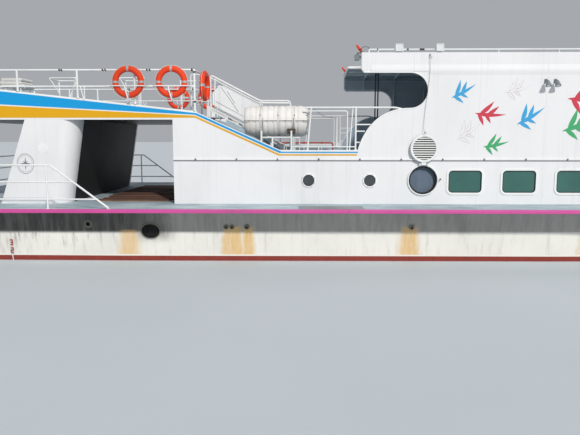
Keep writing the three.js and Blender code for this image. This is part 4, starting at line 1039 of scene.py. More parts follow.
rail_top = 4.265
rail_mid = 3.904
sun_rail = Piece()
stair_gap = (-1.65, -0.75)
loop = [
    (rail_fore, stair_gap[0], rail_top), (rail_fore, -rail_y, rail_top), (rail_aft, -rail_y, rail_top),
    (rail_aft, rail_y, rail_top), (rail_fore, rail_y, rail_top), (rail_fore, stair_gap[1], rail_top)
]
sun_rail.tube(bent(loop, 0.09, 6), 0.021, 14)
for side, end in ((-1, stair_gap[0]), (1, stair_gap[1])):
    y = side * rail_y
    sun_rail.tube(
        bent([(rail_fore, end, rail_mid), (rail_fore, y, rail_mid), (-16.85, y, rail_mid)], 0.08),
        0.019, 12
    )
    sun_rail.tube([(rail_fore, end, 3.56), (rail_fore, y, 3.56)], 0.017, 12)
    for x in (rail_fore, -13.3, -14.6, -15.96, -16.85, rail_aft):
        post(sun_rail, x, y, bulwark_top(x) + 0.028, rail_top, 0.024)
for y in (-1.35, 0.0, 1.35):
    post(sun_rail, rail_aft, y, bulwark_top(rail_aft) + 0.028, rail_top, 0.018)
for y in (stair_gap[0], stair_gap[1], 1.0):
    post(sun_rail, rail_fore, y, sun_deck_top, rail_top, 0.018)
# A forked strut from the middle rail down to the bulwark.
for side in (-1, 1):
    y = side * 2.735
    foot = bulwark_top(-14.45) + 0.012
    sun_rail.tube(
        bent([(-14.525, y, rail_mid), (-14.50, y, rail_mid - 0.12), (-14.462, y, foot)], 0.05), 0.013, 10
    )
    sun_rail.tube([(-14.438, y, rail_mid), (-14.442, y, foot)], 0.013, 10)
    sun_rail.turned(
        [(0.030, 0.0), (0.030, 0.006), (0.016, 0.02), (0.010, 0.0)],
        (-14.452, y, foot - 0.005), (0, 0, 1), 14, closed=True
    )
# A low gate frame beside the stairhead.
sun_rail.tube(
    bent(
        [
            (-12.26, -1.45, sun_deck_top), (-12.26, -1.45, 4.289),
            (-12.00, -1.45, 4.289), (-12.00, -1.45, sun_deck_top)
        ],
        0.06
    ),
    0.019, 12
)
for z in (3.55, 3.9, 4.12):
    sun_rail.tube([(-12.26, -1.45, z), (-12.00, -1.45, z)], 0.014, 10)
for x in (-12.20, -12.45):
    post(sun_rail, x, -1.75, sun_deck_top, 4.12, 0.016)
sun_rail.tube([(-12.47, -1.75, 4.11), (rail_fore, -1.75, 4.11)], 0.015, 10)
sun_rail.tube([(-12.47, -1.75, 3.72), (rail_fore, -1.75, 3.72)], 0.013, 10)
rails = sun_rail.done("sun_deck_rails", "boat", [rail_white], "white_paint")
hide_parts("sun_rails")

# Seats on the sun deck: bent-tube frames that spread towards the top.
benches = Piece()
for x0, x1 in ((-16.25, -15.48), (-14.38, -13.68)):
    near, far, top, foot = -0.30, 0.55, 4.325, 3.262
    hoop = [
        (x0 + 0.30, near), (x1, near), (x1 - 0.30, far), (x0 - 0.08, far), (x0, near), (x0 + 0.30, near)
    ]
    benches.tube(bent([(x, y, top) for x, y in hoop], 0.11, 6), 0.019, 12)
    legs = [
        # top, foot, each along and across
        ((x0 + 0.02, near), (x0 + 0.26, near + 0.10)),
        ((x1 - 0.04, near), (x1 - 0.20, near + 0.10)),
        ((x0 - 0.06, far), (x0 - 0.02, far - 0.08)),
        ((x1 - 0.33, far), (x1 - 0.50, far - 0.08)),
    ]
    for (tx, ty), (fx, fy) in legs:
        benches.tube(bent([(tx, ty, top), (fx, fy, 3.90), (fx, fy, foot)], 0.12), 0.017, 12)
        benches.turned(
            [(0.036, 0.0), (0.036, 0.006), (0.019, 0.012), (0.010, 0.0)],
            (fx, fy, rubber_top), (0, 0, 1), 14, closed=True
        )
    for (a, b), z in (
        ((0, 1), 3.68), ((2, 3), 3.68), ((0, 2), 3.70), ((1, 3), 3.70), ((0, 1), 3.36), ((2, 3), 3.36)
    ):
        benches.tube([(*legs[a][1], z), (*legs[b][1], z)], 0.014, 10)
# A stack of the seats' white covers on a low stand near the after rail.
for k in range(3):
    z = 4.09 + k * 0.082
    reach = 0.04 * (k == 1)
    cover = rounded(-17.50 - reach, -16.90 - reach - 0.03 * k, z, z + 0.072, 0.034)
    benches.plate(cover, -0.32, 0.36, 1)
for x in (-17.42, -17.02):
    for y in (-0.26, 0.30):
        benches.tube([(x, y, rubber_top), (x, y, 4.075)], 0.019, 12)
for y in (-0.26, 0.30):
    benches.tube([(-17.52, y, 4.073), (-16.92, y, 4.073)], 0.018, 12)
    benches.tube([(-17.42, y, 3.45), (-17.02, y, 3.45)], 0.014, 10)
cover_white = coat("Seat cover white", "e2e3e0", "9a968a", 0.1, 0.4, 0.6, 120.0)
benches.done("sun_deck_seats", "boat", [rail_white, cover_white], edge=0.004)

# Lashings: turns of black cord round the joints of the top rail.
lashings = Piece()
for side in (-1, 1):
    for x in (-15.00, -14.95, -14.02, -13.96, -13.02, -12.96):
        for k in range(3):
            centre = (x + k * 0.011, side * rail_y, rail_top)
            lashings.turned(
                [(0.021, -0.0055), (0.0285, -0.004), (0.0285, 0.004), (0.021, 0.0055)],
                centre, (1, 0, 0.5), 14, closed=True
            )
    # Dark clamps hold the top rail on its stout forward post.
    for x, z in ((-12.00, rail_top), (-11.95, rail_top - 0.05), (-11.95, 3.56)):
        axis = (1, 0, 0) if x < -11.96 else (0, 0, 1)
        collar(lashings, (x, side * rail_y, z), axis, 0.021, 0.031, 0.018)
lashings.done("rail_lashings", "boat", [lashing_dark])

# Life rings: hard foam in an orange cover, with four reflective bands and a grab line in four bights.
# At the sides each is held by a white bar across its front, clamped to the rail, and a stem that
# hooks under it. The one at the stairhead hangs on two small brackets.
ring_orange = coat(
    "Life ring orange", "e6421c", "8a3418", 0.15, 0.3, 0.55, 70.0, depth=0.003, Specular_IOR_Level=0.3
)
band_silver = coat("Reflective band", "b9bdbf", "6f7376", 0.15, 0.35, 0.28, 120.0, metal=0.35)
line_white = coat("Grab line", "ddd6c4", "8d8570", 0.1, 0.4, 0.85, 300.0, depth=0.003)
ring_places = [
    # node, centre, axis of the hole
    ("life_ring_starboard_aft", (-13.423, -2.7976, 3.992), (0.0, 1.0, 0.0)),
    ("life_ring_starboard_fore", (-12.450, -2.7976, 3.992), (0.0, 1.0, 0.0)),
    ("life_ring_port_aft", (-13.423, 2.7976, 3.992), (0.0, 1.0, 0.0)),
    ("life_ring_port_fore", (-12.450, 2.7976, 3.992), (0.0, 1.0, 0.0)),
    ("life_ring_stairhead", (-11.816, -2.06, 3.960), (0.9976, -0.0698, 0.0)),
]
ring_radius = 0.290
for name, centre, axis in ring_places:
    centre = Vector(centre)
    axis = Vector(axis)
    across_ring = upright.cross(axis)
    buoy = Piece()

    def around(angle, out, off=0.0):
        arm = across_ring * math.cos(angle) + upright * math.sin(angle)
        return centre + arm * out + axis * off

    # The foam body, flattened a little along the axis and pinched under the bands.
    turns, sides = 80, 18
    points, faces, finishes = [], [], []
    for i in range(turns):
        angle = 2 * math.pi * i / turns
        from_band = abs((angle + math.pi / 4) % (math.pi / 2) - math.pi / 4) * ring_radius
        banded = from_band < 0.033
        swell = 1.0 if banded else 1.0 + 0.02 * min(1.0, (from_band - 0.033) / 0.05)
        for k in range(sides):
            turn = 2 * math.pi * k / sides
            points.append(
                around(angle, ring_radius + 0.066 * swell * math.cos(turn), 0.060 * swell * math.sin(turn))
            )
    for i in range(turns):
        middle = 2 * math.pi * (i + 0.5) / turns
        banded = abs((middle + math.pi / 4) % (math.pi / 2) - math.pi / 4) * ring_radius < 0.033
        for k in range(sides):
            a, b = i * sides, ((i + 1) % turns) * sides
            faces.append((a + k, a + (k + 1) % sides, b + (k + 1) % sides, b + k))
            finishes.append(1 if banded else 0)
    start = len(buoy.points)
    buoy.points.extend(points)
    buoy.faces.extend([start + i for i in face] for face in faces)
    buoy.finishes.extend(finishes)
    for quarter in range(4):
        begin = math.pi / 2 * quarter
        bight = []
        for k in range(17):
            share = k / 16
            slack = 0.0045 + 0.028 * math.sin(math.pi * share) * (1.0 if quarter in (2, 3) else 0.55)
            bight.append(
                around(
                    begin + math.pi / 2 * share, ring_radius + 0.0665 + slack,
                    -0.004 + 0.006 * math.sin(6.3 * share)
                )
            )
        buoy.tube(bight, 0.0045, 8, 2)
    made = buoy.done(
        name.replace("life_ring", "ring"), "boat", [ring_orange, band_silver, line_white],
        "ring_orange", smooth=60.0
    )
    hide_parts(name)

brackets = Piece()
for name, centre, axis in ring_places:
    x, y, z = centre
    if abs(axis[1]) > 0.5:
        side = 1 if y > 0 else -1
        front = y + side * 0.082
        bar_path = [
            (x - 0.50, side * 2.735, rail_mid), (x - 0.40, side * 2.74, rail_mid),
            (x - 0.36, front, rail_mid), (x + 0.36, front, rail_mid), (x + 0.40, side * 2.74, rail_mid),
            (x + 0.50, side * 2.735, rail_mid)
        ]
        brackets.tube(bent(bar_path, 0.03), 0.013, 10)
        stem = [
            (x - 0.06, front, rail_mid), (x - 0.045, front + side * 0.006, z - 0.20),
            (x + 0.01, front, z - 0.385), (x + 0.03, y - side * 0.02, z - 0.44)
        ]
        brackets.tube(bent(stem, 0.05), 0.015, 10)
        brackets.tube(
            bent(
                [
                    (x + 0.01, front, z - 0.385), (x + 0.06, y + side * 0.03, z - 0.42),
                    (x + 0.10, y - side * 0.05, z - 0.40)
                ],
                0.02
            ),
            0.009, 8
        )
        for dx in (-0.47, 0.47):
            brackets.turned(
                [(0.019, -0.02), (0.028, -0.02), (0.028, 0.02), (0.019, 0.02)],
                (x + dx, side * rail_y, rail_mid), (1, 0, 0), 14, closed=True
            )
    else:
        for dy in (-0.13, 0.13):
            brackets.tube(
                bent(
                    [
                        (-11.929, y + dy, rail_mid), (x - 0.066, y + dy, rail_mid),
                        (x - 0.070, y + dy, z - 0.365), (x + 0.06, y + dy, z - 0.365),
                        (x + 0.075, y + dy, z - 0.33)
                    ],
                    0.02
                ),
                0.008, 8
            )
brackets.done("ring_brackets", "boat", [rail_white], "white_paint")

# Stair to the sun deck: folded plate stringers and chequered treads with open risers, welded up in white.
# A sheet closes its port side, and the double handrails run on level at the foot.
slope_fall = (3.24 - 2.30) / (11.894 - 10.07)


def slope_top(x):
    """Height of the sloped deck plate under the stair."""
    return 3.24 - (x + 11.894) * slope_fall


tread_plate = coat("Chequered tread", "c9cfd2", "6d6a60", 0.1, 0.55, 0.45, 140.0, depth=0.004)
sheet_white = coat("Sheet enamel", "e9eaec", "8f938f", 0.3, 0.25, 0.4, 30.0, depth=0.006)
stair_y = (-1.6, -0.8)
stair_aft, stair_fore, stair_foot = -11.854, -9.97, 0.09
under, over = 0.225, 0.335
hand_top, hand_foot, hand_end = -11.754, -10.55, -9.81
tread_pitch = 1.824 / 7
tread_xs = [-11.894 + (i + 1.75) * tread_pitch for i in range(6)]


def beside_stair(x0, x1, low, high):
    """A strip parallel to the sloped deck, from one height above it to another."""
    return [
        (x0, slope_top(x0) + low), (x1, slope_top(x1) + low),
        (x1, slope_top(x1) + high), (x0, slope_top(x0) + high)
    ]


mid_deck_top = 2.301
stair = Piece()
for y0, y1 in ((stair_y[0], stair_y[0] + 0.034), (stair_y[1] - 0.034, stair_y[1])):
    for low, high in ((under, under + 0.030), (over - 0.036, over)):
        stair.plate(beside_stair(stair_aft, stair_fore, low, high), y0, y1, 0)
    for x in tread_xs:
        stair.plate(
            beside_stair(x + 0.02, x + 0.10, under + 0.028, over - 0.034), y0 + 0.011, y1 - 0.011, 0
        )
    stair.plate(
        beside_stair(stair_aft, stair_aft + stair_foot, 0.001, over - 0.02), y0 + 0.002, y1 - 0.002, 0
    )
    stair.plate(
        [
            (stair_fore - stair_foot, mid_deck_top), (stair_fore, mid_deck_top),
            (stair_fore, slope_top(stair_fore) + over - 0.002),
            (stair_fore - stair_foot, slope_top(stair_fore - stair_foot) + over - 0.002)
        ],
        y0 + 0.002, y1 - 0.002, 0
    )
    stair.block((stair_fore - 0.13, y0 - 0.012, 2.3005), (stair_fore + 0.028, y1 + 0.012, 2.309), 0)
landing = (stair_aft, -11.516)
stair.block((landing[0], stair_y[0], sun_deck_top), (landing[1], stair_y[1], 3.267), 1)
for x in tread_xs:
    top = slope_top(x) + 0.262
    x0, x1 = x - 0.04, x + 0.16
    fold = [
        (x0, top - 0.030), (x0 + 0.005, top - 0.030), (x0 + 0.005, top - 0.005), (x1 - 0.005, top - 0.005),
        (x1 - 0.005, top - 0.034), (x1, top - 0.034), (x1, top), (x0, top)
    ]
    stair.plate(fold, stair_y[0] + 0.010, stair_y[1] - 0.010, 1)
    for k in range(5):
        bar_x = x0 + 0.025 + k * 0.033
        stair.block((bar_x, stair_y[0] + 0.05, top), (bar_x + 0.012, stair_y[1] - 0.05, top + 0.003), 1)
level = slope_top(hand_foot) + 1.10
for y in (stair_y[0] + 0.017, stair_y[1] - 0.017):
    hand = [
        (hand_top, y, slope_top(hand_top) + 0.24), (hand_top, y, slope_top(hand_top) + 1.10),
        (hand_foot, y, level), (hand_end, y, level), (hand_end, y, mid_deck_top)
    ]
    stair.tube(bent(hand, 0.09, 6), 0.021, 14)
    stair.tube([(hand_foot, y, slope_top(hand_foot) + 0.24), (hand_foot, y, level)], 0.018, 12)
    for x in (hand_top, hand_foot):
        collar(stair, (x, y, slope_top(x) + over + 0.02), (0, 0, 1), 0.021, 0.026, 0.02)
    stair.turned(
        [(0.044, 0.0), (0.044, 0.006), (0.024, 0.012), (0.020, 0.0)],
        (hand_end, y, 2.3008), (0, 0, 1), 16, closed=True
    )
near = stair_y[0] + 0.017
knee = [
    (hand_top, near, slope_top(hand_top) + 1.035),
    (hand_foot - 0.02, near, slope_top(hand_foot - 0.02) + 1.035), (hand_end, near, level - 0.065)
]
stair.tube(bent(knee, 0.06), 0.013, 12)
sheet_y = -0.825
sheet = []
for along, up in ((-0.076, 0.39), (-0.076, 0.69), (0.0, 0.81), (0.055, 0.89), (0.092, 0.99), (0.20, 1.01)):
    sheet.append((hand_top + along, slope_top(hand_top + along) + up))
sheet += [(hand_foot, slope_top(hand_foot) + 1.01), (hand_foot, slope_top(hand_foot) + 0.375)]
stair.plate(sheet, sheet_y, sheet_y + 0.014, 2)
# A grey bar along the sheet's curved aft edge is a painted shadow gap under the handrail.
stair.tube([(x, sheet_y - 0.002, z) for x, z in sheet[:6]], 0.007, 8, 3)
stair.tube([(x, sheet_y, z) for x, z in sheet[5:]], 0.008, 8, 0)
# Thin grey bars across the sheet are painted shadow lines of the rails.
for (x0, z0), (x1, z1) in (
    ((0.16, 0.95), (0.60, 0.55)), ((0.0, 0.52), (0.96, 0.50)), ((0.32, 0.93), (0.50, 0.72))
):
    ends = [(hand_top + x, sheet_y - 0.001, slope_top(hand_top + x) + z) for x, z in ((x0, z0), (x1, z1))]
    stair.tube(ends, 0.006, 8, 3)
made = stair.done(
    "stair_to_sun_deck", "boat", [rail_white, tread_plate, sheet_white, galvanised],
    "white_paint", edge=0.002
)
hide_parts("stair")

# Rails of the middle deck: two tubes close together, held by posts on the coaming, some of them leaning.
# A red pipe runs along the port side, and a slack chain hangs from the starboard rail.
rail_foot = 2.4806
deck_rail_top = 3.43
for side, name in both_sides:
    y = side * 2.71
    deck_rail = Piece()
    deck_rail.tube(
        bent([(-9.46, y, deck_rail_top), (-7.42, y, deck_rail_top), (-7.27, y, 3.392)], 0.08), 0.021, 14
    )
    deck_rail.tube(bent([(-9.395, y, 3.351), (-8.505, y, 3.351), (-8.505, y, rail_foot)], 0.05), 0.015, 12)
    deck_rail.tube(bent([(-9.778, y, rail_foot), (-9.778, y, 2.551), (-8.315, y, 2.551)], 0.03), 0.014, 12)
    for z, x in ((3.05, -7.99), (2.90, -8.12), (2.65, -8.23)):
        deck_rail.tube([(-8.315, y, z), (x + 0.01, y, z)], 0.016, 12)
    post(deck_rail, -9.323, y, rail_foot, deck_rail_top, 0.020, True, (-0.080, 0.0))
    post(deck_rail, -8.315, y, rail_foot, deck_rail_top, 0.021)
    deck_rail.tube([(-8.386, y, 3.40), (-8.451, y, rail_foot)], 0.014, 12)
    deck_rail.tube([(-9.153, y, 2.551), (-9.153, y, rail_foot)], 0.012, 10)
    for x in (-9.325, -8.39, -8.315):
        collar(deck_rail, (x, y, deck_rail_top), (1, 0, 0), 0.021, 0.026, 0.016)
    if side > 0:
        deck_rail.turned(
            [(0.05, 0.0), (0.048, 0.02), (0.032, 0.07), (0.030, 0.90), (0.0, 0.905)],
            (-8.42, y - 0.06, rail_foot), (0, 0, 1), 20
        )
    made = deck_rail.done(f"deck_rail_{name}", "boat", [rail_white], "white_paint")
    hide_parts(f"mid_rail_{name}")

pipe_red = coat("Pipe red", "b0372c", "5e2a24", 0.2, 0.4, 0.45, 60.0)
pipe_y = 2.40
red_pipe = Piece()
red_pipe.tube(
    bent(
        [(-10.42, pipe_y, 2.302), (-10.42, pipe_y, 2.60), (-8.55, pipe_y, 2.60), (-8.55, pipe_y, 2.302)],
        0.07
    ),
    0.024, 14
)
for x in (-10.0, -9.45, -8.9):
    collar(red_pipe, (x, pipe_y, 2.60), (1, 0, 0), 0.024, 0.031, 0.03)
    red_pipe.tube([(x, pipe_y, 2.58), (x, pipe_y, mid_deck_top)], 0.010, 8, 1)
red_pipe.done("red_pipe", "boat", [pipe_red, rail_white])

chain = Piece()
for i in range(17):
    share = i / 16
    x = -9.253 + 0.404 * share
    z = 3.399 - 0.185 * share - 0.06 * math.sin(math.pi * share)
    turn = i % 2
    for k in range(10):
        a, b = [2 * math.pi * m / 10 for m in (k, k + 1)]
        ends = []
        for angle in (a, b):
            out = 0.010 * math.sin(angle)
            ends.append(
                (
                    x + 0.017 * math.cos(angle), -2.69 + out * turn,
                    z + out * (1 - turn) - 0.46 * 0.017 * math.cos(angle)
                )
            )
        chain.tube(ends, 0.0028, 6)
chain.done("rail_chain", "boat", [galvanised])

# Life rafts: ribbed glass-fibre canisters in two halves, joined at a flange and held down by webbing.
# Each lies in a cradle of welded tube, with a black release unit beside its forward guard post.
raft_shell = coat(
    "Raft shell", "e6e4e2", "8d857a", 0.25, 0.3, 0.5, 25.0, depth=0.004, Specular_IOR_Level=0.35
)
raft_seal = coat("Flange seal", "5f5750", "3a352f", 0.1, 0.4, 0.7, 80.0)
webbing = coat("Raft webbing", "cfccc6", "8a857c", 0.1, 0.35, 0.85, 400.0, depth=0.003)
raft_x, raft_z, raft_radius, raft_half = -10.122, 3.140, 0.350, 0.735
for side, name in both_sides:
    y = side * 2.30
    canister = Piece()
    profile = [
        (0.0, -raft_half + 0.045), (0.10, -raft_half + 0.040), (0.20, -raft_half + 0.020),
        (0.262, -raft_half + 0.004), (0.285, -raft_half), (0.300, -raft_half + 0.008),
        (0.325, -raft_half + 0.05), (0.338, -raft_half + 0.10)
    ]
    ribs = 9
    start, stop = -raft_half + 0.12, raft_half - 0.12
    pitch = (stop - start) / ribs
    for i in range(ribs):
        x = start + i * pitch
        for share, radius in (
            (0.02, 0.338), (0.10, 0.338), (0.16, 0.347), (0.22, 0.350),
            (0.40, 0.350), (0.78, 0.350), (0.84, 0.347), (0.90, 0.338)
        ):
            profile.append((radius, x + pitch * share))
    profile += [(r, -d) for r, d in reversed(profile[:8])]
    canister.turned(profile, (raft_x, y, raft_z), (1, 0, 0), 56, 0)
    flange = [
        (-raft_half + 0.035, -0.362), (raft_half - 0.035, -0.362), (raft_half - 0.012, -0.33),
        (raft_half + 0.004, -0.20), (raft_half + 0.004, 0.20), (raft_half - 0.012, 0.33),
        (raft_half - 0.035, 0.362), (-raft_half + 0.035, 0.362), (-raft_half + 0.012, 0.33),
        (-raft_half - 0.004, 0.20), (-raft_half - 0.004, -0.20), (-raft_half + 0.012, -0.33)
    ]
    for low, high, index in ((-0.018, -0.007, 0), (-0.008, 0.006, 1), (0.005, 0.014, 0)):
        canister.plate(
            [(raft_x + u, y + v) for u, v in flange], raft_z + low, raft_z + high, index, lie=on_deck
        )
    for x in (-0.36, 0.05, 0.42):
        strap = []
        for k in range(49):
            angle = 2 * math.pi * k / 48
            strap.append((0.3535 + (0.010 if abs(math.sin(angle)) < 0.06 else 0.0), angle))
        points, faces = [], []
        for radius, angle in strap[:-1]:
            for across_x, out in ((-0.015, 0.0), (0.015, 0.0), (0.015, 0.003), (-0.015, 0.003)):
                points.append(
                    (
                        raft_x + x + across_x, y + (radius + out) * math.cos(angle),
                        raft_z + (radius + out) * math.sin(angle)
                    )
                )
        for k in range(48):
            a, b = k * 4, (k + 1) % 48 * 4
            faces += [(a + m, a + (m + 1) % 4, b + (m + 1) % 4, b + m) for m in range(4)]
        canister.add(points, faces, 2)
        buckle = (raft_x + x, y - 0.360 * 0.94, raft_z + 0.360 * 0.34)
        canister.turned(
            [(0.0, 0.0), (0.016, 0.0), (0.016, 0.008), (0.012, 0.010), (0.0, 0.010)],
            buckle, (0, -0.94, 0.34), 8, 3
        )
    for x in (-0.62, -0.2, 0.22, 0.62):
        for face in (-1, 1):
            canister.turned(
                [(0.010, -0.016), (0.010, 0.016), (0.0, 0.017)],
                (raft_x + x, y + face * 0.356, raft_z), (0, 0, 1), 8, 3
            )
    # The painter's outlet, in a rubber bung at the forward end.
    canister.turned(
        [(0.030, 0.0), (0.030, 0.012), (0.018, 0.02), (0.0, 0.02)],
        (raft_x + raft_half - 0.018, y - side * 0.10, raft_z + 0.10), (1, 0, 0), 20, 1
    )
    made = canister.done(
        f"raft_{name}", "boat", [raft_shell, raft_seal, webbing, galvanised], "raft_shell", smooth=45.0
    )
    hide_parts(f"life_raft_{name}")

    cradle = Piece()
    bottom = raft_z - raft_radius
    saddles = (raft_x - 0.343, raft_x + 0.352)
    legs = (y - 0.26, y + 0.26)
    for x in saddles:
        arc = []
        for k in range(21):
            angle = math.radians(-150 + 120 * k / 20)
            arc.append(
                (
                    x, y + (raft_radius + 0.012) * math.cos(angle),
                    raft_z + (raft_radius + 0.012) * math.sin(angle)
                )
            )
        for turn in (-0.02, 0.02):
            cradle.tube([(p[0] + turn, p[1], p[2]) for p in arc], 0.010, 10)
        cradle.tube([(x, y - 0.30, bottom - 0.032), (x, y + 0.30, bottom - 0.032)], 0.021, 12)
        cradle.tube([(x, y - 0.29, bottom - 0.03), (x, y - 0.29, bottom + 0.12)], 0.016, 10)
        cradle.tube([(x, y + 0.29, bottom - 0.03), (x, y + 0.29, bottom + 0.12)], 0.016, 10)
        for leg in legs:
            foot = max(2.30, slope_top(x)) + 0.001
            post(cradle, x, leg, foot, bottom - 0.02, 0.021)
    for leg in legs:
        cradle.tube(
            [(saddles[0], leg, bottom - 0.035), (saddles[1] + 0.20, leg, bottom - 0.035)], 0.017, 12
        )
        cradle.tube([(saddles[0], leg, bottom - 0.035), (saddles[1], leg, bottom - 0.035)], 0.014, 10)
        for x in (-9.73, -9.586):
            post(cradle, x, leg, mid_deck_top, bottom - 0.03, 0.013)
    # Upright guards on the coaming in front of the cradle, with a bar between them.
    guard = side * 2.712
    for x, high, low in (
        (-10.452, 2.914, slope_top(-10.452) + 0.09), (-9.772, 2.914, 2.481),
        (-10.20, 2.772, slope_top(-10.20) + 0.09)
    ):
        cradle.tube([(x, guard, low), (x, guard, high)], 0.023, 14)
    cradle.tube([(-10.452, guard, 2.763), (-9.772, guard, 2.763)], 0.015, 12)
    for x in (-10.452, -9.772):
        cradle.tube([(x, guard, 2.90), (x, y + side * 0.30, 2.86)], 0.013, 10)
    # Black release unit and its box, bolted behind the guard's forward post.
    box_x = -9.87
    outer = side * 2.640
    box = rounded(box_x, box_x + 0.196, 2.840, 2.961, 0.018)
    cradle.plate(box, outer - 0.045, outer + 0.045, 1)
    cradle.turned(
        [(0.0, -0.01), (0.045, -0.01), (0.05, 0.0), (0.05, 0.012), (0.038, 0.016), (0.0, 0.018)],
        (box_x + 0.128, outer + side * 0.045, 2.90), (0, side, 0), 24, 1
    )
    for x in saddles:
        grip = [
            (x + 0.045, y + side * 0.352, raft_z + 0.06), (x + 0.045, y + side * 0.368, raft_z - 0.06),
            (x + 0.045, y + side * 0.31, bottom + 0.02)
        ]
        cradle.tube(grip, 0.006, 8, 2)
    made = cradle.done(
        f"raft_stand_{name}", "boat", [rail_white, dark_iron, galvanised], "white_paint", edge=0.003
    )
    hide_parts(f"raft_cradle_{name}")

# Verandah: the walls' inner sides, their frames and the roof's underside are in grey satin paint.
# Flat-bar frames stand every 0.93 m, with two stringers along them and beams across the cambered roof.
verandah_grey = coat("Verandah grey", "e0e7ec", "4a545c", 0.2, 0.3, 0.4, 22.0)


def two_sided(name, masks, inner="a0afbb", soil_and_shade="4a545c"):
    """The topside coat outside, another tone where every mask is met, and a painted shadow under the
    knuckle bar.
    """
    material = coat(name, "e6e6e8", "9a9c9c", 0.13, 0.10, 0.36, pitch=1.48, depth=0.003)
    tree = material.node_tree
    shader = tree.nodes["Principled BSDF"]
    spot = wire(tree, "SeparateXYZ", {0: wire(tree, "TexCoord").outputs["Object"]}).outputs
    facing = wire(tree, "SeparateXYZ", {0: wire(tree, "NewGeometry").outputs["True Normal"]}).outputs
    inside = calc(tree, "LESS_THAN", calc(tree, "ABSOLUTE", spot["Y"]), masks["half"])
    inside = calc(tree, "MULTIPLY", inside, calc(tree, "LESS_THAN", spot["X"], masks["fore"]))
    inside = calc(tree, "MULTIPLY", inside, calc(tree, "LESS_THAN", spot["Z"], masks["top"]))
    inside = calc(tree, "MULTIPLY", inside, calc(tree, "GREATER_THAN", spot["Z"], masks["foot"]))
    inside = calc(tree, "MULTIPLY", inside, calc(tree, "LESS_THAN", facing["Z"], 0.5))
    grey = use(tree, weathered, Paint=tone(inner), Soil=tone(soil_and_shade), Streaks=0.2, Mottle=0.3)["Color"]
    colour = mix(tree, inside, shader.inputs["Base Color"].links[0].from_socket, grey)
    # Painted shadow: a dark grey line on the outer wall just under the knuckle bar.
    below_bar = calc(
        tree, "MULTIPLY", ramp(tree, spot["Z"], 2.205, 2.238), ramp(tree, spot["Z"], 2.252, 2.246)
    )
    bar_shadow = calc(
        tree, "MULTIPLY", below_bar, calc(tree, "GREATER_THAN", calc(tree, "ABSOLUTE", spot["Y"]), 2.74)
    )
    colour = mix(tree, calc(tree, "MULTIPLY", bar_shadow, 0.7), colour, tone("55585c"))
    tree.links.new(colour, shader.inputs["Base Color"])
    return material


dress(
    two_sided("Wall coat", {"half": 2.68, "fore": -5.38, "top": 5.0, "foot": 2.29}),
    "wall_starboard", "wall_port"
)
dress(two_sided("Roof coat", {"half": 2.695, "fore": -5.45, "top": 4.714, "foot": 4.0}), "roof")
# The sun deck's underside is near-black: painted shade under the overhanging deck.
dress(
    two_sided(
        "Sun deck coat, shade painted underneath", {"half": 2.74, "fore": -11.9, "top": 3.2, "foot": 3.15}, "25282b", "131415"
    ),
    "sun_deck"
)


def wing_under(y):
    """Height of the cambered roof's underside over the verandah."""
    return 4.71 - max(0.0, abs(y) - 1.25) * (0.115 / 1.44)


frames = Piece()
for side in (-1, 1):
    y_wall = side * 2.669
    for x in (-7.585, -6.652, -5.718):
        top = wing_under(2.62) - 0.004
        reach = side * 2.61
        low = 4.217 if x < -6.72 else 2.31
        frames.block((x - 0.004, min(y_wall, reach), low), (x + 0.004, max(y_wall, reach), top), 0)
        beam = [
            (side * 2.66, wing_under(2.66) - 0.001), (side * 1.30, wing_under(1.30) - 0.001),
            (side * 1.30, wing_under(1.30) - 0.056), (side * 2.60, wing_under(2.60) - 0.056),
            (side * 2.60, wing_under(2.60) - 0.10), (side * 2.66, wing_under(2.66) - 0.10)
        ]
        frames.plate(beam, x - 0.004, x + 0.004, 0, lie=on_section)
    for z, x0 in ((4.497, -8.15), (4.235, -8.06)):
        face = side * 2.689
        frames.block((x0, min(face, side * 2.655), z), (-5.46, max(face, side * 2.655), z + 0.008), 0)
    for y in (2.0, 1.55):
        z = wing_under(y)
        frames.block((-8.15, side * y - 0.004, z - 0.045), (-5.46, side * y + 0.004, z - 0.001), 0)
frames.done("verandah_frames", "boat", [verandah_grey], "dark_panel", edge=0.002)

# The roof's edge: a half-round moulding along the side panels, and a rolled bar round the notch.
roof_top = 4.632
edging = Piece()
for side in (-1, 1):
    y = side * wall_face
    upper = [(0.013, 4.235), (0.010, 4.275), (0.004, 4.33), (-0.002, 4.385)]
    for x0, x1, lower in (
        (-8.0, -6.72, [(-0.002, 4.206), (0.009, 4.214)]),
        (-6.72, 7.0, [(-0.002, 4.13), (0.004, 4.165), (0.010, 4.205)])
    ):
        swage = [(y + side * out, z) for out, z in lower + upper]
        edging.plate(swage, x0, x1, 1, lie=on_section)
    panel = [(-8.19, y - side * 0.03, roof_top)]
    for k in range(9):
        angle = math.radians(180 + 90 * k / 8)
        panel.append((-8.10 + 0.09 * math.cos(angle), y - side * 0.03, 4.305 + 0.09 * math.sin(angle)))
    panel.append((-7.2, y - side * 0.03, 4.215))
    edging.tube(panel, 0.028, 12)
notch = []
for k in range(33):
    notch.append(eased(k / 32, (-8.14, -1.25), (-6.24, -1.25), (-6.24, 1.25), (-8.14, 1.25)))
notch = [(-8.19, -1.25)] + notch + [(-8.19, 1.25)]
edging.tube([(x, y, 4.748) for x, y in notch], 0.044, 12)
for side in (-1, 1):
    edging.tube([(-8.19, side * 1.25, 4.748), (-8.19, side * 2.70, 4.612)], 0.030, 12)
edging.done("roof_edging", "boat", [frame_white, white_coat], "white_paint")

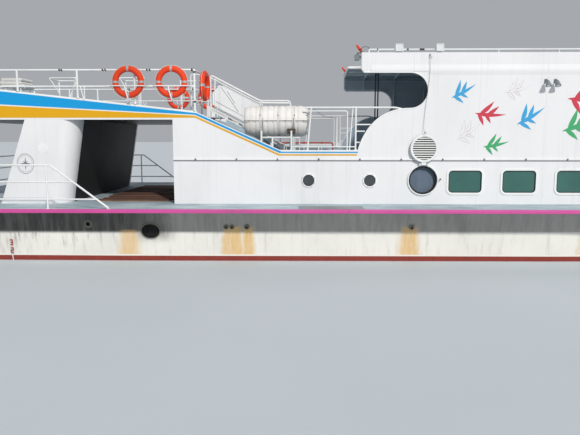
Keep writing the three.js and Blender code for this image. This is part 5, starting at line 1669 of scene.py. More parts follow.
# Two dark scupper pipes that drain the roof down to the middle deck.
pipes = Piece()
for x in (-7.33, -7.25):
    pipes.tube(bent([(x, 1.85, 2.302), (x, 1.85, 4.60), (x + 0.02, 1.92, 4.655)], 0.05), 0.020, 12)
    for z in (2.9, 3.7, 4.45):
        pipes.turned(
            [(0.020, -0.012), (0.025, -0.012), (0.025, 0.012), (0.020, 0.012)],
            (x, 1.85, z), (0, 0, 1), 14, closed=True
        )
pipes.tube(
    bent([(-7.33, 1.85, 4.62), (-7.36, 1.83, 4.66), (-7.28, 1.83, 4.66), (-7.30, 1.85, 4.58)], 0.02),
    0.008, 8
)
pipes.block((-7.38, 1.80, mid_deck_top), (-7.20, 1.90, 2.309))
pipes.done(
    "scupper_pipes", "boat", [coat("Pipe grey", "3a444b", "6b5a48", 0.2, 0.3, 0.4, 60.0)], edge=0.002
)

# Roof rail: a low tube on short posts, with square floodlights on stems and turns of black tape.
low_rail_z = 4.698
low_rail = Piece()
for side in (-1, 1):
    y = side * rail_y
    run = [(-8.045, y, roof_top + 0.001), (-8.045, y, low_rail_z), (7.06, y, low_rail_z)]
    low_rail.tube(bent(run, 0.03), 0.018, 12)
    for i in range(11):
        x = -7.844 + i * 1.333
        if i == 1:
            continue
        low_rail.tube([(x, y, roof_top + 0.0005), (x, y, 4.69)], 0.011, 10)
        low_rail.turned(
            [(0.024, 0.0), (0.024, 0.004), (0.011, 0.007), (0.006, 0.0)],
            (x, y, roof_top + 0.0005), (0, 0, 1), 12, closed=True
        )
    for x, turns in ((-7.20, 3), (-6.92, 5), (-6.86, 4), (-7.86, 2)):
        for k in range(turns):
            collar(low_rail, (x + k * 0.012, y, low_rail_z), (1, 0, 0), 0.018, 0.0225, 0.006, 12, 1)
    low_rail.tube(
        bent(
            [
                (-8.20, y, 4.645), (-8.215, y, 4.74), (-8.13, y, 4.768),
                (-8.044, y, 4.74), (-8.044, y, 4.70)
            ],
            0.04, 6
        ),
        0.005, 8, 1
    )
low_rail.tube([(7.06, -2.74, low_rail_z), (7.06, 2.74, low_rail_z)], 0.018, 12)
for side in (-1, 1):
    y = side * rail_y
    for x in (-7.381, -6.484):
        back, face = y + side * 0.020, y + side * 0.062
        case = rounded(x - 0.083, x + 0.083, 4.658, 4.813, 0.014)
        low_rail.plate(case, back, face, 2)
        low_rail.rim(
            case, rounded(x - 0.070, x + 0.070, 4.671, 4.800, 0.008), face, face + side * 0.009, 2
        )
        low_rail.plate(
            rounded(x - 0.071, x + 0.071, 4.670, 4.801, 0.006), face - side * 0.002, face + side * 0.002, 3
        )
        for k in range(6):
            z = 4.726 + k * 0.014
            low_rail.block(
                (x - 0.07, min(back, back - side * 0.014), z),
                (x + 0.07, max(back, back - side * 0.014), z + 0.005), 2
            )
        fork = [
            (x - 0.092, back, 4.74), (x - 0.092, back, 4.650),
            (x + 0.092, back, 4.650), (x + 0.092, back, 4.74)
        ]
        low_rail.tube(bent(fork, 0.015), 0.006, 8, 2)
        low_rail.tube([(x, y, roof_top + 0.0005), (x, y, 4.76)], 0.012, 10, 2)
lamp_glass = finish(
    "Floodlight glass",
    mottled("c9ced0", "eef1f2", 40.0),
    uneven(60.0, 0.06, 0.2),
    Coat_Weight=0.6,
)
lamp_case = coat("Floodlight enamel", "e9eaea", "85857f", 0.15, 0.25, 0.35, 80.0)
made = low_rail.done(
    "roof_rail_tubes", "boat", [rail_white, lashing_dark, lamp_case, lamp_glass], "white_paint", edge=0.002
)
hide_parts("roof_rail")

# An orange strobe marker leans aft at each of the roof's after corners.
# A grey lamp box hangs below the starboard one.
lamps = Piece()
for side, ahead, rise in ((-1, 0.0, 0.0), (1, 0.045, 0.12)):
    y = side * 2.66
    foot, tip = Vector((-8.205 + ahead, y, 4.662 + rise)), Vector((-8.319 + ahead, y, 4.809 + rise))
    lamps.tube([(-8.170, y, 4.610), (-8.185 + ahead, y, 4.64), foot], 0.014, 12, 1)
    lamps.turned(
        [
            (0.0, 0.0), (0.026, 0.002), (0.030, 0.02), (0.030, 0.11),
            (0.024, 0.145), (0.024, 0.175), (0.0, 0.186)
        ],
        foot, tip - foot, 16, 0
    )
    lamps.turned(
        [(0.030, 0.05), (0.0325, 0.052), (0.0325, 0.066), (0.030, 0.068)],
        foot, tip - foot, 16, 1, closed=True
    )
    if side > 0:
        continue
    box = rounded(-8.354, -8.249, 4.47, 4.60, 0.016)
    lamps.plate(box, y - 0.055, y + 0.055, 2)
    for face in (y - 0.061, y + 0.055):
        lamps.rim(box, rounded(-8.340, -8.263, 4.484, 4.586, 0.01), face, face + 0.006, 2)
    lamps.tube(bent([(-8.30, y, 4.60), (-8.30, y, roof_top), (-8.19, y, roof_top)], 0.02), 0.010, 10, 1)
lamps.done(
    "roof_lamps", "boat",
    [ring_orange, lashing_dark, coat("Lamp box grey", "767d82", "3c3f40", 0.2, 0.35, 0.45, 80.0)],
    edge=0.003
)

wall_lamps = Piece()
for side in (-1, 1):
    face = side * wall_face
    for x in (-4.115, -3.905):
        z = 4.00
        wall_lamps.plate(
            rounded(x - 0.035, x + 0.035, z - 0.05, z + 0.05, 0.01), face, face + side * 0.008, 0
        )
        arm = [(x, face, z + 0.02), (x, face + side * 0.07, z + 0.03), (x, face + side * 0.12, z - 0.02)]
        wall_lamps.tube(bent(arm, 0.03), 0.009, 10, 0)
        head = (x, face + side * 0.13, z - 0.04)
        wall_lamps.turned(
            [
                (0.0, -0.06), (0.018, -0.055), (0.03, -0.03), (0.062, 0.05),
                (0.066, 0.08), (0.058, 0.075), (0.05, 0.055), (0.0, 0.05)
            ],
            head, (0, side * 0.35, -1), 24, 0
        )
        wall_lamps.turned(
            [(0.0, 0.058), (0.05, 0.058), (0.045, 0.075), (0.02, 0.088), (0.0, 0.09)],
            head, (0, side * 0.35, -1), 20, 1
        )
wall_lamps.done(
    "wall_lamps", "boat", [coat("Hanging lamp grey", "7a8288", "4a4742", 0.2, 0.4, 0.4, 80.0), lamp_glass]
)

# Tie line of the intake's cover: thin cord, taut from a hook on the roof's edge down to the cover's catch.
tie = Piece()
for side in (-1, 1):
    out = side * 2.772
    tie.tube(
        bent(
            [
                (-6.70, side * wall_face, 4.60), (-6.70, side * 2.785, 4.59),
                (-6.685, side * 2.79, 4.53), (-6.65, side * 2.775, 4.52)
            ],
            0.02
        ),
        0.006, 8, 1
    )
    line = [
        (-6.71, side * 2.786, 4.585), (-6.698, side * 2.784, 4.47), (-6.690, side * 2.780, 4.26),
        (-6.70, side * 2.776, 4.05), (-6.72, out, 3.85), (-6.745, out, 3.60), (-6.77, out, 3.40),
        (-6.79, out, 3.17), (-6.80, side * 2.79, 2.96), (-6.78, side * 2.82, 2.868)
    ]
    tie.tube(line, 0.0035, 8, 0)
    for k in range(3):
        tie.turned(
            [(0.006, -0.003), (0.0105, 0.0), (0.006, 0.003)], (-6.70, side * 2.786, 4.575 - k * 0.008),
            (0.3, 0.2, 1), 12, 0, closed=True
        )
tie.done(
    "cover_tie_line", "boat", [coat("Tie cord", "8b8f92", "54504a", 0.1, 0.4, 0.85, 400.0), galvanised]
)

# Painted figures on the topside: sprigs of leaves in four colours, films of enamel.
# Each blade of a sprig lies at a film height of its own.
decal_blue = coat("Figure blue", "2a9fd8", "6f94a6", 0.1, 0.15, 0.35, 40.0)
decal_red = coat("Figure red", "c9364a", "8a5a5c", 0.1, 0.15, 0.35, 40.0)
decal_green = coat("Figure green", "3fa56b", "6b8a74", 0.1, 0.15, 0.35, 40.0)
decal_pale = coat("Figure outline", "c8b9c4", "a8a2a6", 0.1, 0.15, 0.35, 40.0)


def leaf(base, heading, length, breadth, bow=0.18, steps=10):
    """Outline of one leaf that curves to a point."""
    ahead = Vector((math.cos(heading), math.sin(heading)))
    aside = Vector((-ahead.y, ahead.x))
    sides = []
    for face in (1, -1):
        edge = []
        for k in range(steps + 1):
            t = k / steps
            swell = math.sin(math.pi * t ** 0.8) * breadth * face
            edge.append(Vector(base) + ahead * length * t + aside * (swell + bow * length * t * t))
        sides.append(edge)
    return sides[0] + sides[1][::-1][1:-1]


figures = Piece()
sprigs = [
    # along, height, size, heading, paint, drawn as outline
    (-6.20, 3.64, 0.62, 0.35, 0, False),
    (-5.66, 3.30, 0.70, -0.20, 1, False),
    (-5.02, 3.76, 0.62, 0.10, 3, True),
    (-4.72, 3.05, 0.72, 0.40, 0, False),
    (-6.05, rail_y, 0.66, 0.45, 3, True),
    (-3.62, 3.62, 0.95, -0.10, 1, False),
    (-5.45, 2.55, 0.60, 0.05, 2, False),
    (-3.70, 2.90, 0.85, 0.25, 2, False),
    (-3.05, 3.72, 0.62, 0.15, 3, True),
    (1.00, 3.74, 0.62, 0.10, 1, False),
    (3.90, 3.72, 0.66, 0.05, 0, False),
    (6.15, 3.20, 0.70, 0.40, 1, False),
    (5.90, 3.74, 0.60, -0.10, 2, False),
]
blades = [
    # along the sprig, off its line, turn from its heading, length, breadth, bow
    (0.00, 0.00, 0.00, 1.00, 0.062, 0.16),
    (0.16, 0.03, 0.62, 0.56, 0.070, 0.30),
    (0.40, 0.06, 0.50, 0.42, 0.060, 0.30),
    (0.10, -0.01, -0.60, 0.40, 0.060, -0.30),
    (0.34, 0.00, -0.45, 0.30, 0.050, -0.30),
]
for side in (-1, 1):
    for x, z, size, heading, paint, outlined in sprigs:
        ahead = Vector((math.cos(heading), math.sin(heading)))
        aside = Vector((-ahead.y, ahead.x))
        for k, (along, off, turn, length, breadth, bow) in enumerate(blades):
            root = Vector((x, z)) + ahead * size * along + aside * size * off
            blade = leaf(root, heading + turn, size * length, size * breadth, bow)
            near = side * (2.7503 + 0.0005 * k)
            far = near + side * 0.0004
            if outlined:
                centre = sum(blade, Vector((0, 0))) / len(blade)
                inner = [p + (centre - p).normalized() * 0.011 for p in blade]
                figures.rim([tuple(p) for p in blade], [tuple(p) for p in inner], near, far, paint)
            else:
                figures.plate([tuple(p) for p in blade], near, far, paint)
figures.done("side_figures", "boat", [decal_blue, decal_red, decal_green, decal_pale], smooth=5.0)

# Small flush access plate on each casing, screwed down.
access = Piece()
for side in (-1, 1):
    face = side * wall_face
    access.plate(rounded(-15.55, -15.33, 2.41, 2.63, 0.02), face, face + side * 0.004, 0)
    for dx in (-0.09, 0.09):
        for dz in (-0.09, 0.09):
            access.turned(
                [(0.007, 0.004), (0.006, 0.007), (0.0, 0.007)],
                (-15.44 + dx, face, 2.52 + dz), (0, side, 0), 8, 1
            )
access.done("casing_plates", "boat", [frame_white, galvanised], edge=0.001)

# A round badge on each casing, drawn in grey line: two rims and a plain eight-point compass star.
badge = Piece()
badge_grey = coat("Badge grey", "757c83", "9a9c9c", 0.1, 0.2, 0.4, 60.0)
for side in (-1, 1):
    x, z, face = -15.868, 2.165, side * 2.7503
    for outer, inner, rise in ((0.232, 0.219, 0.0012), (0.190, 0.184, 0.0010)):
        rims = [
            [(x + (u - x) * 0.85, v) for u, v in circle(x, z, radius, 56)]
            for radius in (outer, inner)
        ]
        badge.rim(*rims, face, face + side * rise, 0)
    for points, reach, waist, rise, turn in (
        (4, 0.165, 0.030, 0.0016, 0.0), (4, 0.100, 0.024, 0.0011, 45.0)
    ):
        star = []
        for k in range(points * 2):
            angle = math.radians(turn + 45 * k)
            radius = waist if k % 2 else reach
            star.append((x + 0.85 * radius * math.sin(angle), z + radius * math.cos(angle)))
        badge.plate(star, face, face + side * rise, 0)
badge.done("casing_badges", "boat", [badge_grey], smooth=5.0)

# Saloons: bench seats in rows each side of the aisle, in the sunk saloon and in the upper cabin.
# Each is a tube frame on a plinth, with a stuffed seat and back in blue leatherette, sewn in places.
seat_blue = coat("Seat leatherette", "2f4f86", "1b2c4a", 0.0, 0.45, 0.42, 220.0, depth=0.003)
seat_thread = coat("Seat piping", "1d335c", "101c33", 0.0, 0.3, 0.6, 400.0, depth=0.002)
plinth_vinyl = coat("Plinth vinyl", "6b747a", "3a3f42", 0.1, 0.5, 0.55, 120.0)
shell_grey = coat("Seat back shell", "b9bec2", "6f7376", 0.1, 0.3, 0.4, 60.0)


def stuffed(piece, corner, across, along, out, size, places, finish=0, seam=1):
    """A pad: crowned over each place, tucked in at its seams and drawn in between its corners."""
    width, depth, thick = size
    per_place, rows = 6, 6
    columns = places * per_place
    grid = {}
    for i in range(columns + 1):
        place_index, step = divmod(i, per_place)
        local = 0.5 - 0.5 * math.cos(math.pi * step / per_place)
        u = min(1.0, (place_index + local) / places)
        for j in range(rows + 1):
            v = 0.5 - 0.5 * math.cos(math.pi * j / rows)
            rim = min(
                1.0, min(u, 1 - u) * width / (thick * 0.8)
            ) * min(1.0, min(v, 1 - v) * depth / (thick * 0.8))
            rim = math.sqrt(max(0.0, rim * (2 - rim)))
            tuck = 1.0 - 0.38 * (step == 0 and 0 < i < columns)
            crown = 0.70 + 0.30 * math.sin(math.pi * local) * math.sin(math.pi * v)
            crease = 0.03 * math.sin(9 * v + 5 * u * places) * math.sin(7 * local + 2 * v)
            drawn = 0.010 * math.sin(math.pi * v) * (1 - 2 * u) ** 5
            pulled = 0.010 * math.sin(math.pi * local) * (1 - 2 * v) ** 3
            flat = corner + across * (u * width + drawn) + along * (v * depth + pulled)
            edge = i in (0, columns) or j in (0, rows)
            grid[i, j, 0] = flat + out * (0 if edge else thick * rim * tuck * (crown + crease))
            grid[i, j, 1] = flat - out * (0 if edge else thick * 0.22 * rim)
    index = {}
    points = []
    for (i, j, face), p in grid.items():
        if face and (i in (0, columns) or j in (0, rows)):
            index[i, j, face] = index[i, j, 0]
            continue
        index[i, j, face] = len(points)
        points.append(p)
    faces = []
    for i in range(columns):
        for j in range(rows):
            for face in (0, 1):
                faces.append(
                    [index[a, b, face] for a, b in ((i, j), (i + 1, j), (i + 1, j + 1), (i, j + 1))]
                )
    piece.add(points, faces, finish)
    border = [grid[i, 0, 0] for i in range(0, columns, 3)] + [
        grid[columns, j, 0]
        for j in range(0, rows, 2)
    ]
    border += [
        grid[i, rows, 0]
        for i in range(columns, 0, -3)
    ] + [grid[0, j, 0] for j in range(rows, 0, -2)]
    piece.tube(border, 0.0055, 5, seam, closed=True)


seat_rows = [
    # name, first row, rows, floor, inner edge, outer edge, places
    ("lower", -9.30, 17, 0.30, 0.42, 2.15, 4),
    ("upper", -5.20, 10, 2.30, 0.42, 2.50, 5),
]
back_lean = Vector((-0.085, 0.0, 0.50)).normalized()
back_face = Vector((back_lean.z, 0.0, -back_lean.x))
for name, first, count, floor_z, inner, outer, places in seat_rows:
    pads = Piece()
    seat_frames = Piece()
    run = (count - 1) * 0.9
    for side in (-1, 1):
        y0, y1 = sorted((side * inner, side * outer))
        pad_width = y1 - y0 - 0.06
        seat_frames.block(
            (first - 0.16, y0, floor_z + 0.0005), (first + run + 0.47, y1, floor_z + 0.055), 1
        )
        for edge_y in (y0, y1):
            seat_frames.tube(
                [(first - 0.15, edge_y, floor_z + 0.053), (first + run + 0.46, edge_y, floor_z + 0.053)],
                0.005, 6, 0
            )
        for i in range(count):
            x = first + 0.9 * i
            stuffed(
                pads, Vector((x + 0.03, y0 + 0.03, floor_z + 0.372)), abeam,
                along_boat, upright, (pad_width, 0.395, 0.050), places
            )
            stuffed(
                pads, Vector((x + 0.018, y0 + 0.03, floor_z + 0.455)), abeam,
                back_lean, back_face, (pad_width, 0.47, 0.036), places
            )
            seat_frames.block(
                (x + 0.022, y0 + 0.02, floor_z + 0.342), (x + 0.425, y1 - 0.02, floor_z + 0.358), 2
            )
            shell = [
                (x - 0.004, floor_z + 0.40), (x - 0.088, floor_z + 0.93), (x - 0.099, floor_z + 0.945),
                (x - 0.112, floor_z + 0.935), (x - 0.112, floor_z + 0.915), (x - 0.022, floor_z + 0.38)
            ]
            seat_frames.plate(shell, y0 + 0.02, y1 - 0.02, 2)
            for y in (y0 + 0.04, (y0 + y1) / 2, y1 - 0.04):
                leg = [
                    (x + 0.36, y, floor_z + 0.056), (x + 0.36, y, floor_z + 0.335),
                    (x + 0.02, y, floor_z + 0.335), (x + 0.06, y, floor_z + 0.056)
                ]
                seat_frames.tube(bent(leg, 0.05, 3), 0.014, 8, 0)
            for y in (y0 + 0.012, y1 - 0.012):
                arm = [
                    (x + 0.33, y, floor_z + 0.35), (x + 0.33, y, floor_z + 0.60),
                    (x - 0.03, y, floor_z + 0.64)
                ]
                seat_frames.tube(bent(arm, 0.06, 4), 0.011, 8, 0)
    seat_frames.block(
        (first + 0.012, -outer + 0.1, floor_z + 0.0005), (first + 0.078, outer - 0.1, floor_z + 0.05), 1
    )
    cushions = pads.done(f"seat_pads_{name}", "boat", [seat_blue, seat_thread], "seat_cover", smooth=60.0)
    made = seat_frames.done(f"seat_frames_{name}", "boat", [galvanised, plinth_vinyl, shell_grey], "steel")
    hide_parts(f"seats_{name}")

# Wheelhouse console: a sloped panel with three screens, gauges, engine levers, a compass and the wheel.
# Three dark doors with bar handles close its front.
console_grey = coat("Console laminate", "3c4850", "22292e", 0.05, 0.3, 0.5, 160.0)
dress(console_grey, "helm_console")
screen_glass = finish(
    "Screen glass",
    mottled("0a0f14", "132029", 3.0),
    uneven(30.0, 0.08, 0.2),
    Coat_Weight=0.5,
)
panel_foot = Vector((5.70, 0.0, 3.20))
panel_up = Vector((0.45, 0.0, 0.15)).normalized()
panel_out = Vector((-panel_up.z, 0.0, panel_up.x))


def on_panel(u, v, w):
    """A place on the console's sloped panel: u across, v up it, w out from it."""
    return tuple(panel_foot + abeam * u + panel_up * v + panel_out * w)


helm = Piece()
for u, half in ((-0.72, 0.20), (-0.22, 0.20), (0.28, 0.16)):
    helm.plate(rounded(u - half, u + half, 0.14, 0.40, 0.02), 0.0005, 0.022, 1, on_panel)
    helm.plate(rounded(u - half + 0.02, u + half - 0.02, 0.16, 0.38, 0.012), 0.020, 0.0235, 2, on_panel)
for u in (0.56, 0.70, 0.84, 0.98):
    for v in (0.18, 0.33):
        helm.turned(
            [(0.052, 0.0005), (0.052, 0.012), (0.046, 0.016), (0.042, 0.010), (0.0, 0.010)],
            on_panel(u, v, 0), panel_out, 24, 0
        )
        helm.turned(
            [(0.0, 0.008), (0.041, 0.008), (0.041, 0.0115), (0.0, 0.0115)],
            on_panel(u, v, 0), panel_out, 24, 2
        )
for k in range(12):
    helm.turned(
        [(0.009, 0.0005), (0.009, 0.012), (0.0, 0.014)],
        on_panel(-0.95 + k * 0.085, 0.07, 0), panel_out, 10, k % 3
    )
for u in (0.62, 0.72):
    helm.tube([on_panel(u, 0.06, 0.0), on_panel(u, 0.04, 0.13)], 0.008, 10, 0)
    helm.turned(
        [(0.0, -0.02), (0.016, -0.016), (0.020, 0.0), (0.016, 0.016), (0.0, 0.02)],
        on_panel(u, 0.04, 0.14), (0, 1, 0), 14, 1
    )
helm.turned(
    [(0.085, 0.0005), (0.085, 0.03), (0.07, 0.05), (0.045, 0.085), (0.0, 0.10)],
    on_panel(-0.22, 0.45, -0.04), (0, 0, 1), 28, 2
)
wheel_at = Vector((5.585, -0.22, 3.02))
rim = [
    wheel_at + Vector((0, 0.24 * math.cos(math.pi * k / 24), 0.24 * math.sin(math.pi * k / 24)))
    for k in range(48)
]
helm.tube(rim, 0.014, 10, 1, closed=True)
for k in range(5):
    angle = 2 * math.pi * k / 5 + math.pi / 2
    helm.tube(
        [
            wheel_at + Vector((0.01, 0, 0)),
            wheel_at + Vector((0, 0.235 * math.cos(angle), 0.235 * math.sin(angle)))
        ],
        0.008, 8, 0
    )
helm.turned(
    [(0.035, -0.02), (0.040, 0.0), (0.030, 0.03), (0.022, 0.07), (0.0, 0.07)], wheel_at, (1, 0, 0), 20, 0
)
for y in (-0.9, 0.0, 0.9):
    helm.plate(rounded(y - 0.38, y + 0.38, 2.36, 2.80, 0.02), 5.6465, 5.6495, 1, on_section)
    helm.tube([(5.635, y + 0.30, 2.55), (5.635, y + 0.30, 2.65)], 0.006, 8, 0)
helm.done("helm_fittings", "boat", [galvanised, rubber, screen_glass], "dark_panel")

# Machinery: two diesels on their beds under the after deck, each driving a shaft through a gearbox.
# The screws are cast bronze with twisted blades, and the rudders are faired plate painted red.
engine_coat = coat("Engine green", "4c6b5c", "1d211e", 0.3, 0.45, 0.45, 50.0)
cast_dark = coat("Cast iron", "33373a", "6b4a34", 0.1, 0.5, 0.6, 90.0, metal=0.4)
hose_black = coat("Hose rubber", "17181a", "3b3b39", 0.1, 0.3, 0.7, 120.0)
for side, name in both_sides:
    y = side * 1.0
    base = -0.40
    engine = Piece()
    engine.plate(
        [
            (-15.72, base + 0.16), (-15.60, base + 0.06), (-14.90, base + 0.06), (-14.72, base + 0.20),
            (-14.72, base + 0.60), (-15.72, base + 0.60)
        ],
        y - 0.26, y + 0.26, 0
    )
    sump = [(-15.64, base + 0.02), (-14.86, base + 0.02), (-14.80, base + 0.14), (-15.70, base + 0.14)]
    engine.plate(sump, y - 0.18, y + 0.18, 0)
    for k in range(6):
        x = -15.62 + k * 0.155
        engine.plate(rounded(x - 0.066, x + 0.066, base + 0.585, base + 0.70, 0.02), y - 0.20, y + 0.20, 0)
        engine.plate(
            rounded(x - 0.056, x + 0.056, base + 0.695, base + 0.75, 0.018), y - 0.15, y + 0.12, 2
        )
        engine.tube(
            bent(
                [(x, y - 0.19, base + 0.64), (x, y - 0.29, base + 0.66), (x, y - 0.31, base + 0.70)],
                0.04, 4
            ),
            0.028, 10, 1
        )
        engine.tube(
            bent(
                [
                    (x + 0.03, y + 0.18, base + 0.66), (x + 0.03, y + 0.25, base + 0.62),
                    (x + 0.03, y + 0.27, base + 0.48)
                ],
                0.03, 4
            ),
            0.008, 8, 2
        )
    engine.tube([(-15.70, y - 0.315, base + 0.715), (-14.76, y - 0.315, base + 0.715)], 0.055, 16, 1)
    engine.turned(
        [(0.0, -0.09), (0.09, -0.085), (0.125, -0.04), (0.125, 0.04), (0.08, 0.09), (0.0, 0.095)],
        (-15.78, y - 0.28, base + 0.80), (1, 0, 0), 24, 1
    )
    engine.turned(
        [(0.0, 0.0), (0.06, 0.005), (0.075, 0.05), (0.075, 0.20), (0.06, 0.215), (0.0, 0.22)],
        (-15.72, y - 0.10, base + 0.77), (1, 0, 0), 24, 3
    )
    engine.plate(rounded(-15.56, -14.90, base + 0.80, base + 0.93, 0.05), y - 0.09, y + 0.14, 0)
    engine.turned(
        [(0.0, 0.0), (0.31, 0.0), (0.33, 0.03), (0.33, 0.13), (0.27, 0.16), (0.0, 0.16)],
        (-14.74, y, base + 0.40), (1, 0, 0), 36, 1
    )
    engine.turned(
        [(0.0, 0.0), (0.10, 0.0), (0.12, 0.03), (0.12, 0.07), (0.0, 0.08)],
        (-15.80, y, base + 0.34), (1, 0, 0), 24, 1
    )
    engine.turned(
        [(0.0, 0.0), (0.075, 0.0), (0.08, 0.02), (0.08, 0.13), (0.0, 0.14)],
        (-15.76, y + 0.24, base + 0.58), (1, 0, 0), 20, 3
    )
    gearbox = [
        (-15.95, base + 0.14), (-15.82, base + 0.06), (-15.74, base + 0.06), (-15.70, base + 0.62),
        (-15.90, base + 0.58), (-15.98, base + 0.40)
    ]
    engine.plate(gearbox, y - 0.20, y + 0.20, 1)
    for dx in (-15.55, -14.95):
        for dy in (-0.34, 0.34):
            engine.plate(
                [
                    (dx - 0.09, base + 0.0008), (dx + 0.09, base + 0.0008),
                    (dx + 0.06, base + 0.17), (dx - 0.06, base + 0.17)
                ],
                y + dy - 0.05, y + dy + 0.05, 3
            )
            engine.turned(
                [(0.016, 0.0), (0.016, 0.03), (0.0, 0.034)], (dx, y + dy, base + 0.17), (0, 0, 1), 6, 3
            )
            engine.tube([(dx, y + dy * 0.8, base + 0.20), (dx, y + dy * 0.6, base + 0.28)], 0.03, 10, 1)
    engine.tube(
        bent(
            [
                (-15.60, y + 0.27, base + 0.45), (-15.60, y + 0.33, base + 0.45),
                (-15.20, y + 0.33, base + 0.30), (-14.90, y + 0.27, base + 0.34)
            ],
            0.08
        ),
        0.024, 12, 2
    )
    engine.tube(
        bent(
            [
                (-14.76, y - 0.20, base + 0.72), (-14.52, y - 0.20, base + 0.80),
                (-14.40, y - 0.20, base + 0.92), (-14.25, y - 0.20, base + 0.92)
            ],
            0.10
        ),
        0.060, 16, 1
    )
    for dx in (-15.7, -15.35, -15.0):
        engine.turned(
            [(0.0, -0.06), (0.045, -0.055), (0.045, 0.05), (0.03, 0.06), (0.0, 0.06)],
            (dx + 0.05, y + 0.30, base + 0.20), (0, 0, 1), 16, 3
        )
    made = engine.done(
        f"diesel_{name}", "boat", [engine_coat, cast_dark, hose_black, galvanised],
        "engine_paint", edge=0.006
    )
    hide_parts(f"engine_{name}")

cast_bronze = coat("Cast bronze", "a8793f", "5d5a3c", 0.15, 0.5, 0.34, 60.0, metal=0.9)
shaft_steel = coat("Shaft steel", "9a9ea2", "5c5f5a", 0.1, 0.25, 0.25, 120.0, metal=0.95)
dress(cast_bronze, "strut_starboard", "strut_port")
shaft_lean = math.radians(7.0)
forward = Vector((math.cos(shaft_lean), 0.0, math.sin(shaft_lean)))
upward = Vector((-math.sin(shaft_lean), 0.0, math.cos(shaft_lean)))
shaft_reach = (-14.0 + 16.75) / math.cos(shaft_lean)
for side, name in both_sides:
    at = Vector((-16.75, side * 1.5, -1.15))
    screw = Piece()
    for k in range(4):
        turn = math.pi / 2 * k
        arm = abeam * math.cos(turn) + upward * math.sin(turn)
        tangent = Vector((0, -1, 0)) * math.sin(turn) + upward * math.cos(turn)
        points, faces = [], []
        steps, ring = 12, 14
        for i in range(steps + 1):
            share = i / steps
            radius = 0.085 + (0.448 - 0.085) * share
            pitch = math.atan2(0.62, 2 * math.pi * radius) * side
            chord = 0.30 * math.sin(math.pi * (0.18 + 0.79 * share)) ** 0.6 + 0.006
            thick = 0.020 * (1 - share) + 0.003
            skew = 0.05 * share * share
            along = tangent * math.cos(pitch) + forward * math.sin(pitch)
            facing = forward * math.cos(pitch) - tangent * math.sin(pitch)
            for j in range(ring):
                angle = 2 * math.pi * j / ring
                reach = 0.5 * chord * math.cos(angle)
                camber = 0.05 * chord * (1 - math.cos(angle) ** 2)
                half = thick * 0.5 * math.sin(angle) * (1 - 0.25 * math.cos(angle))
                points.append(at + arm * radius + along * (reach - skew) + facing * (camber + half))
        for i in range(steps):
            a, b = i * ring, (i + 1) * ring
            faces += [(a + j, a + (j + 1) % ring, b + (j + 1) % ring, b + j) for j in range(ring)]
        faces += [tuple(range(ring))[::-1], tuple(steps * ring + j for j in range(ring))]
        screw.add(points, faces, 0)
    screw.turned(
        [
            (0.0, -0.150), (0.03, -0.149), (0.058, -0.135), (0.08, -0.10), (0.098, -0.06), (0.104, 0.0),
            (0.104, 0.10), (0.085, 0.135), (0.06, 0.148), (0.0, 0.149)
        ],
        at, forward, 40, 0
    )
    screw.turned(
        [(0.045, 0.0), (0.045, shaft_reach - 0.004), (0.040, shaft_reach), (0.0, shaft_reach)],
        at, forward, 28, 1
    )
    screw.turned(
        [(0.045, 0.0), (0.070, 0.004), (0.074, 0.03), (0.060, 0.06), (0.045, 0.07)],
        at + forward * 0.17, forward, 28, 2
    )
    made = screw.done(
        f"screw_casting_{name}", f"screw_{name}", [cast_bronze, shaft_steel, galvanised],
        "bronze", smooth=40.0
    )
    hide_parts(f"propeller_{name}")

rudder_red = coat("Antifouling red", "8a3027", "4f6a4a", 0.3, 0.55, 0.7, 30.0, depth=0.005)
dress(rudder_red, "rudder_starboard", "rudder_port")
zinc = coat("Zinc anode", "a9adad", "77736a", 0.1, 0.6, 0.6, 60.0, metal=0.6)
anodes = {-1: Piece(), 1: Piece()}
for side, name in both_sides:
    for face in (-1, 1):
        for z in (-0.95, -1.32):
            centre_y = side * 1.5 + face * 0.040
            bar_outline = rounded(-17.86, -17.62, z - 0.035, z + 0.035, 0.03)
            anodes[side].plate(bar_outline, centre_y, centre_y + face * 0.016, 0)
            anodes[side].turned(
                [(0.010, 0.0), (0.010, 0.020), (0.0, 0.022)], (-17.74, centre_y, z), (0, face, 0), 10, 1
            )
    anodes[side].done(f"rudder_anodes_{name}", f"steering_{name}", [zinc, galvanised], edge=0.004)

# Open rails of the main deck: welded tube on flanged posts, rounded at the stern and falling forward.
# The bow rail follows the sheer and meets over the stem. The windlass stands on the foredeck, and the
# two hatches are aft and forward.
after_rail_top = 2.181
fall_head = -14.85
aft_levels = (after_rail_top, 1.826, 1.458)


def aft_point(x, side, z):
    return (x, side * (deck_at(x)[0] - 0.06), z)


def on_fall(z):
    return fall_head + 1.207 * (after_rail_top - z) / 0.909


after_rail = Piece()
for z, radius in zip(aft_levels, (0.021, 0.018, 0.018)):
    run = []
    for side in (-1, 1):
        half = [aft_point(on_fall(z), side, z), aft_point(-17.5, side, z), aft_point(-18.88, side, z)]
        run += half if side < 0 else half[::-1]
    after_rail.tube(bent(run, 0.14, 6), radius, 14)
for side in (-1, 1):
    fall = [aft_point(fall_head, side, after_rail_top), aft_point(-13.643, side, 1.272)]
    after_rail.tube(fall, 0.021, 14)
    after_rail.turned(
        [(0.045, 0.0), (0.045, 0.006), (0.024, 0.014), (0.018, 0.0)],
        (fall[1][0], fall[1][1], main_deck_top), (0, 0, 1), 16, closed=True
    )
    for x in (-14.94, -16.39, -17.5):
        px, py, _ = aft_point(x, side, 0)
        post(after_rail, px, py, main_deck_top, after_rail_top, 0.020)
    post(after_rail, -18.80, side * (deck_at(-18.80)[0] - 0.06), main_deck_top, 2.175, 0.020)
    post(after_rail, -18.88, side * 1.7, main_deck_top, after_rail_top, 0.020)
post(after_rail, -18.88, 0.0, main_deck_top, after_rail_top, 0.020)
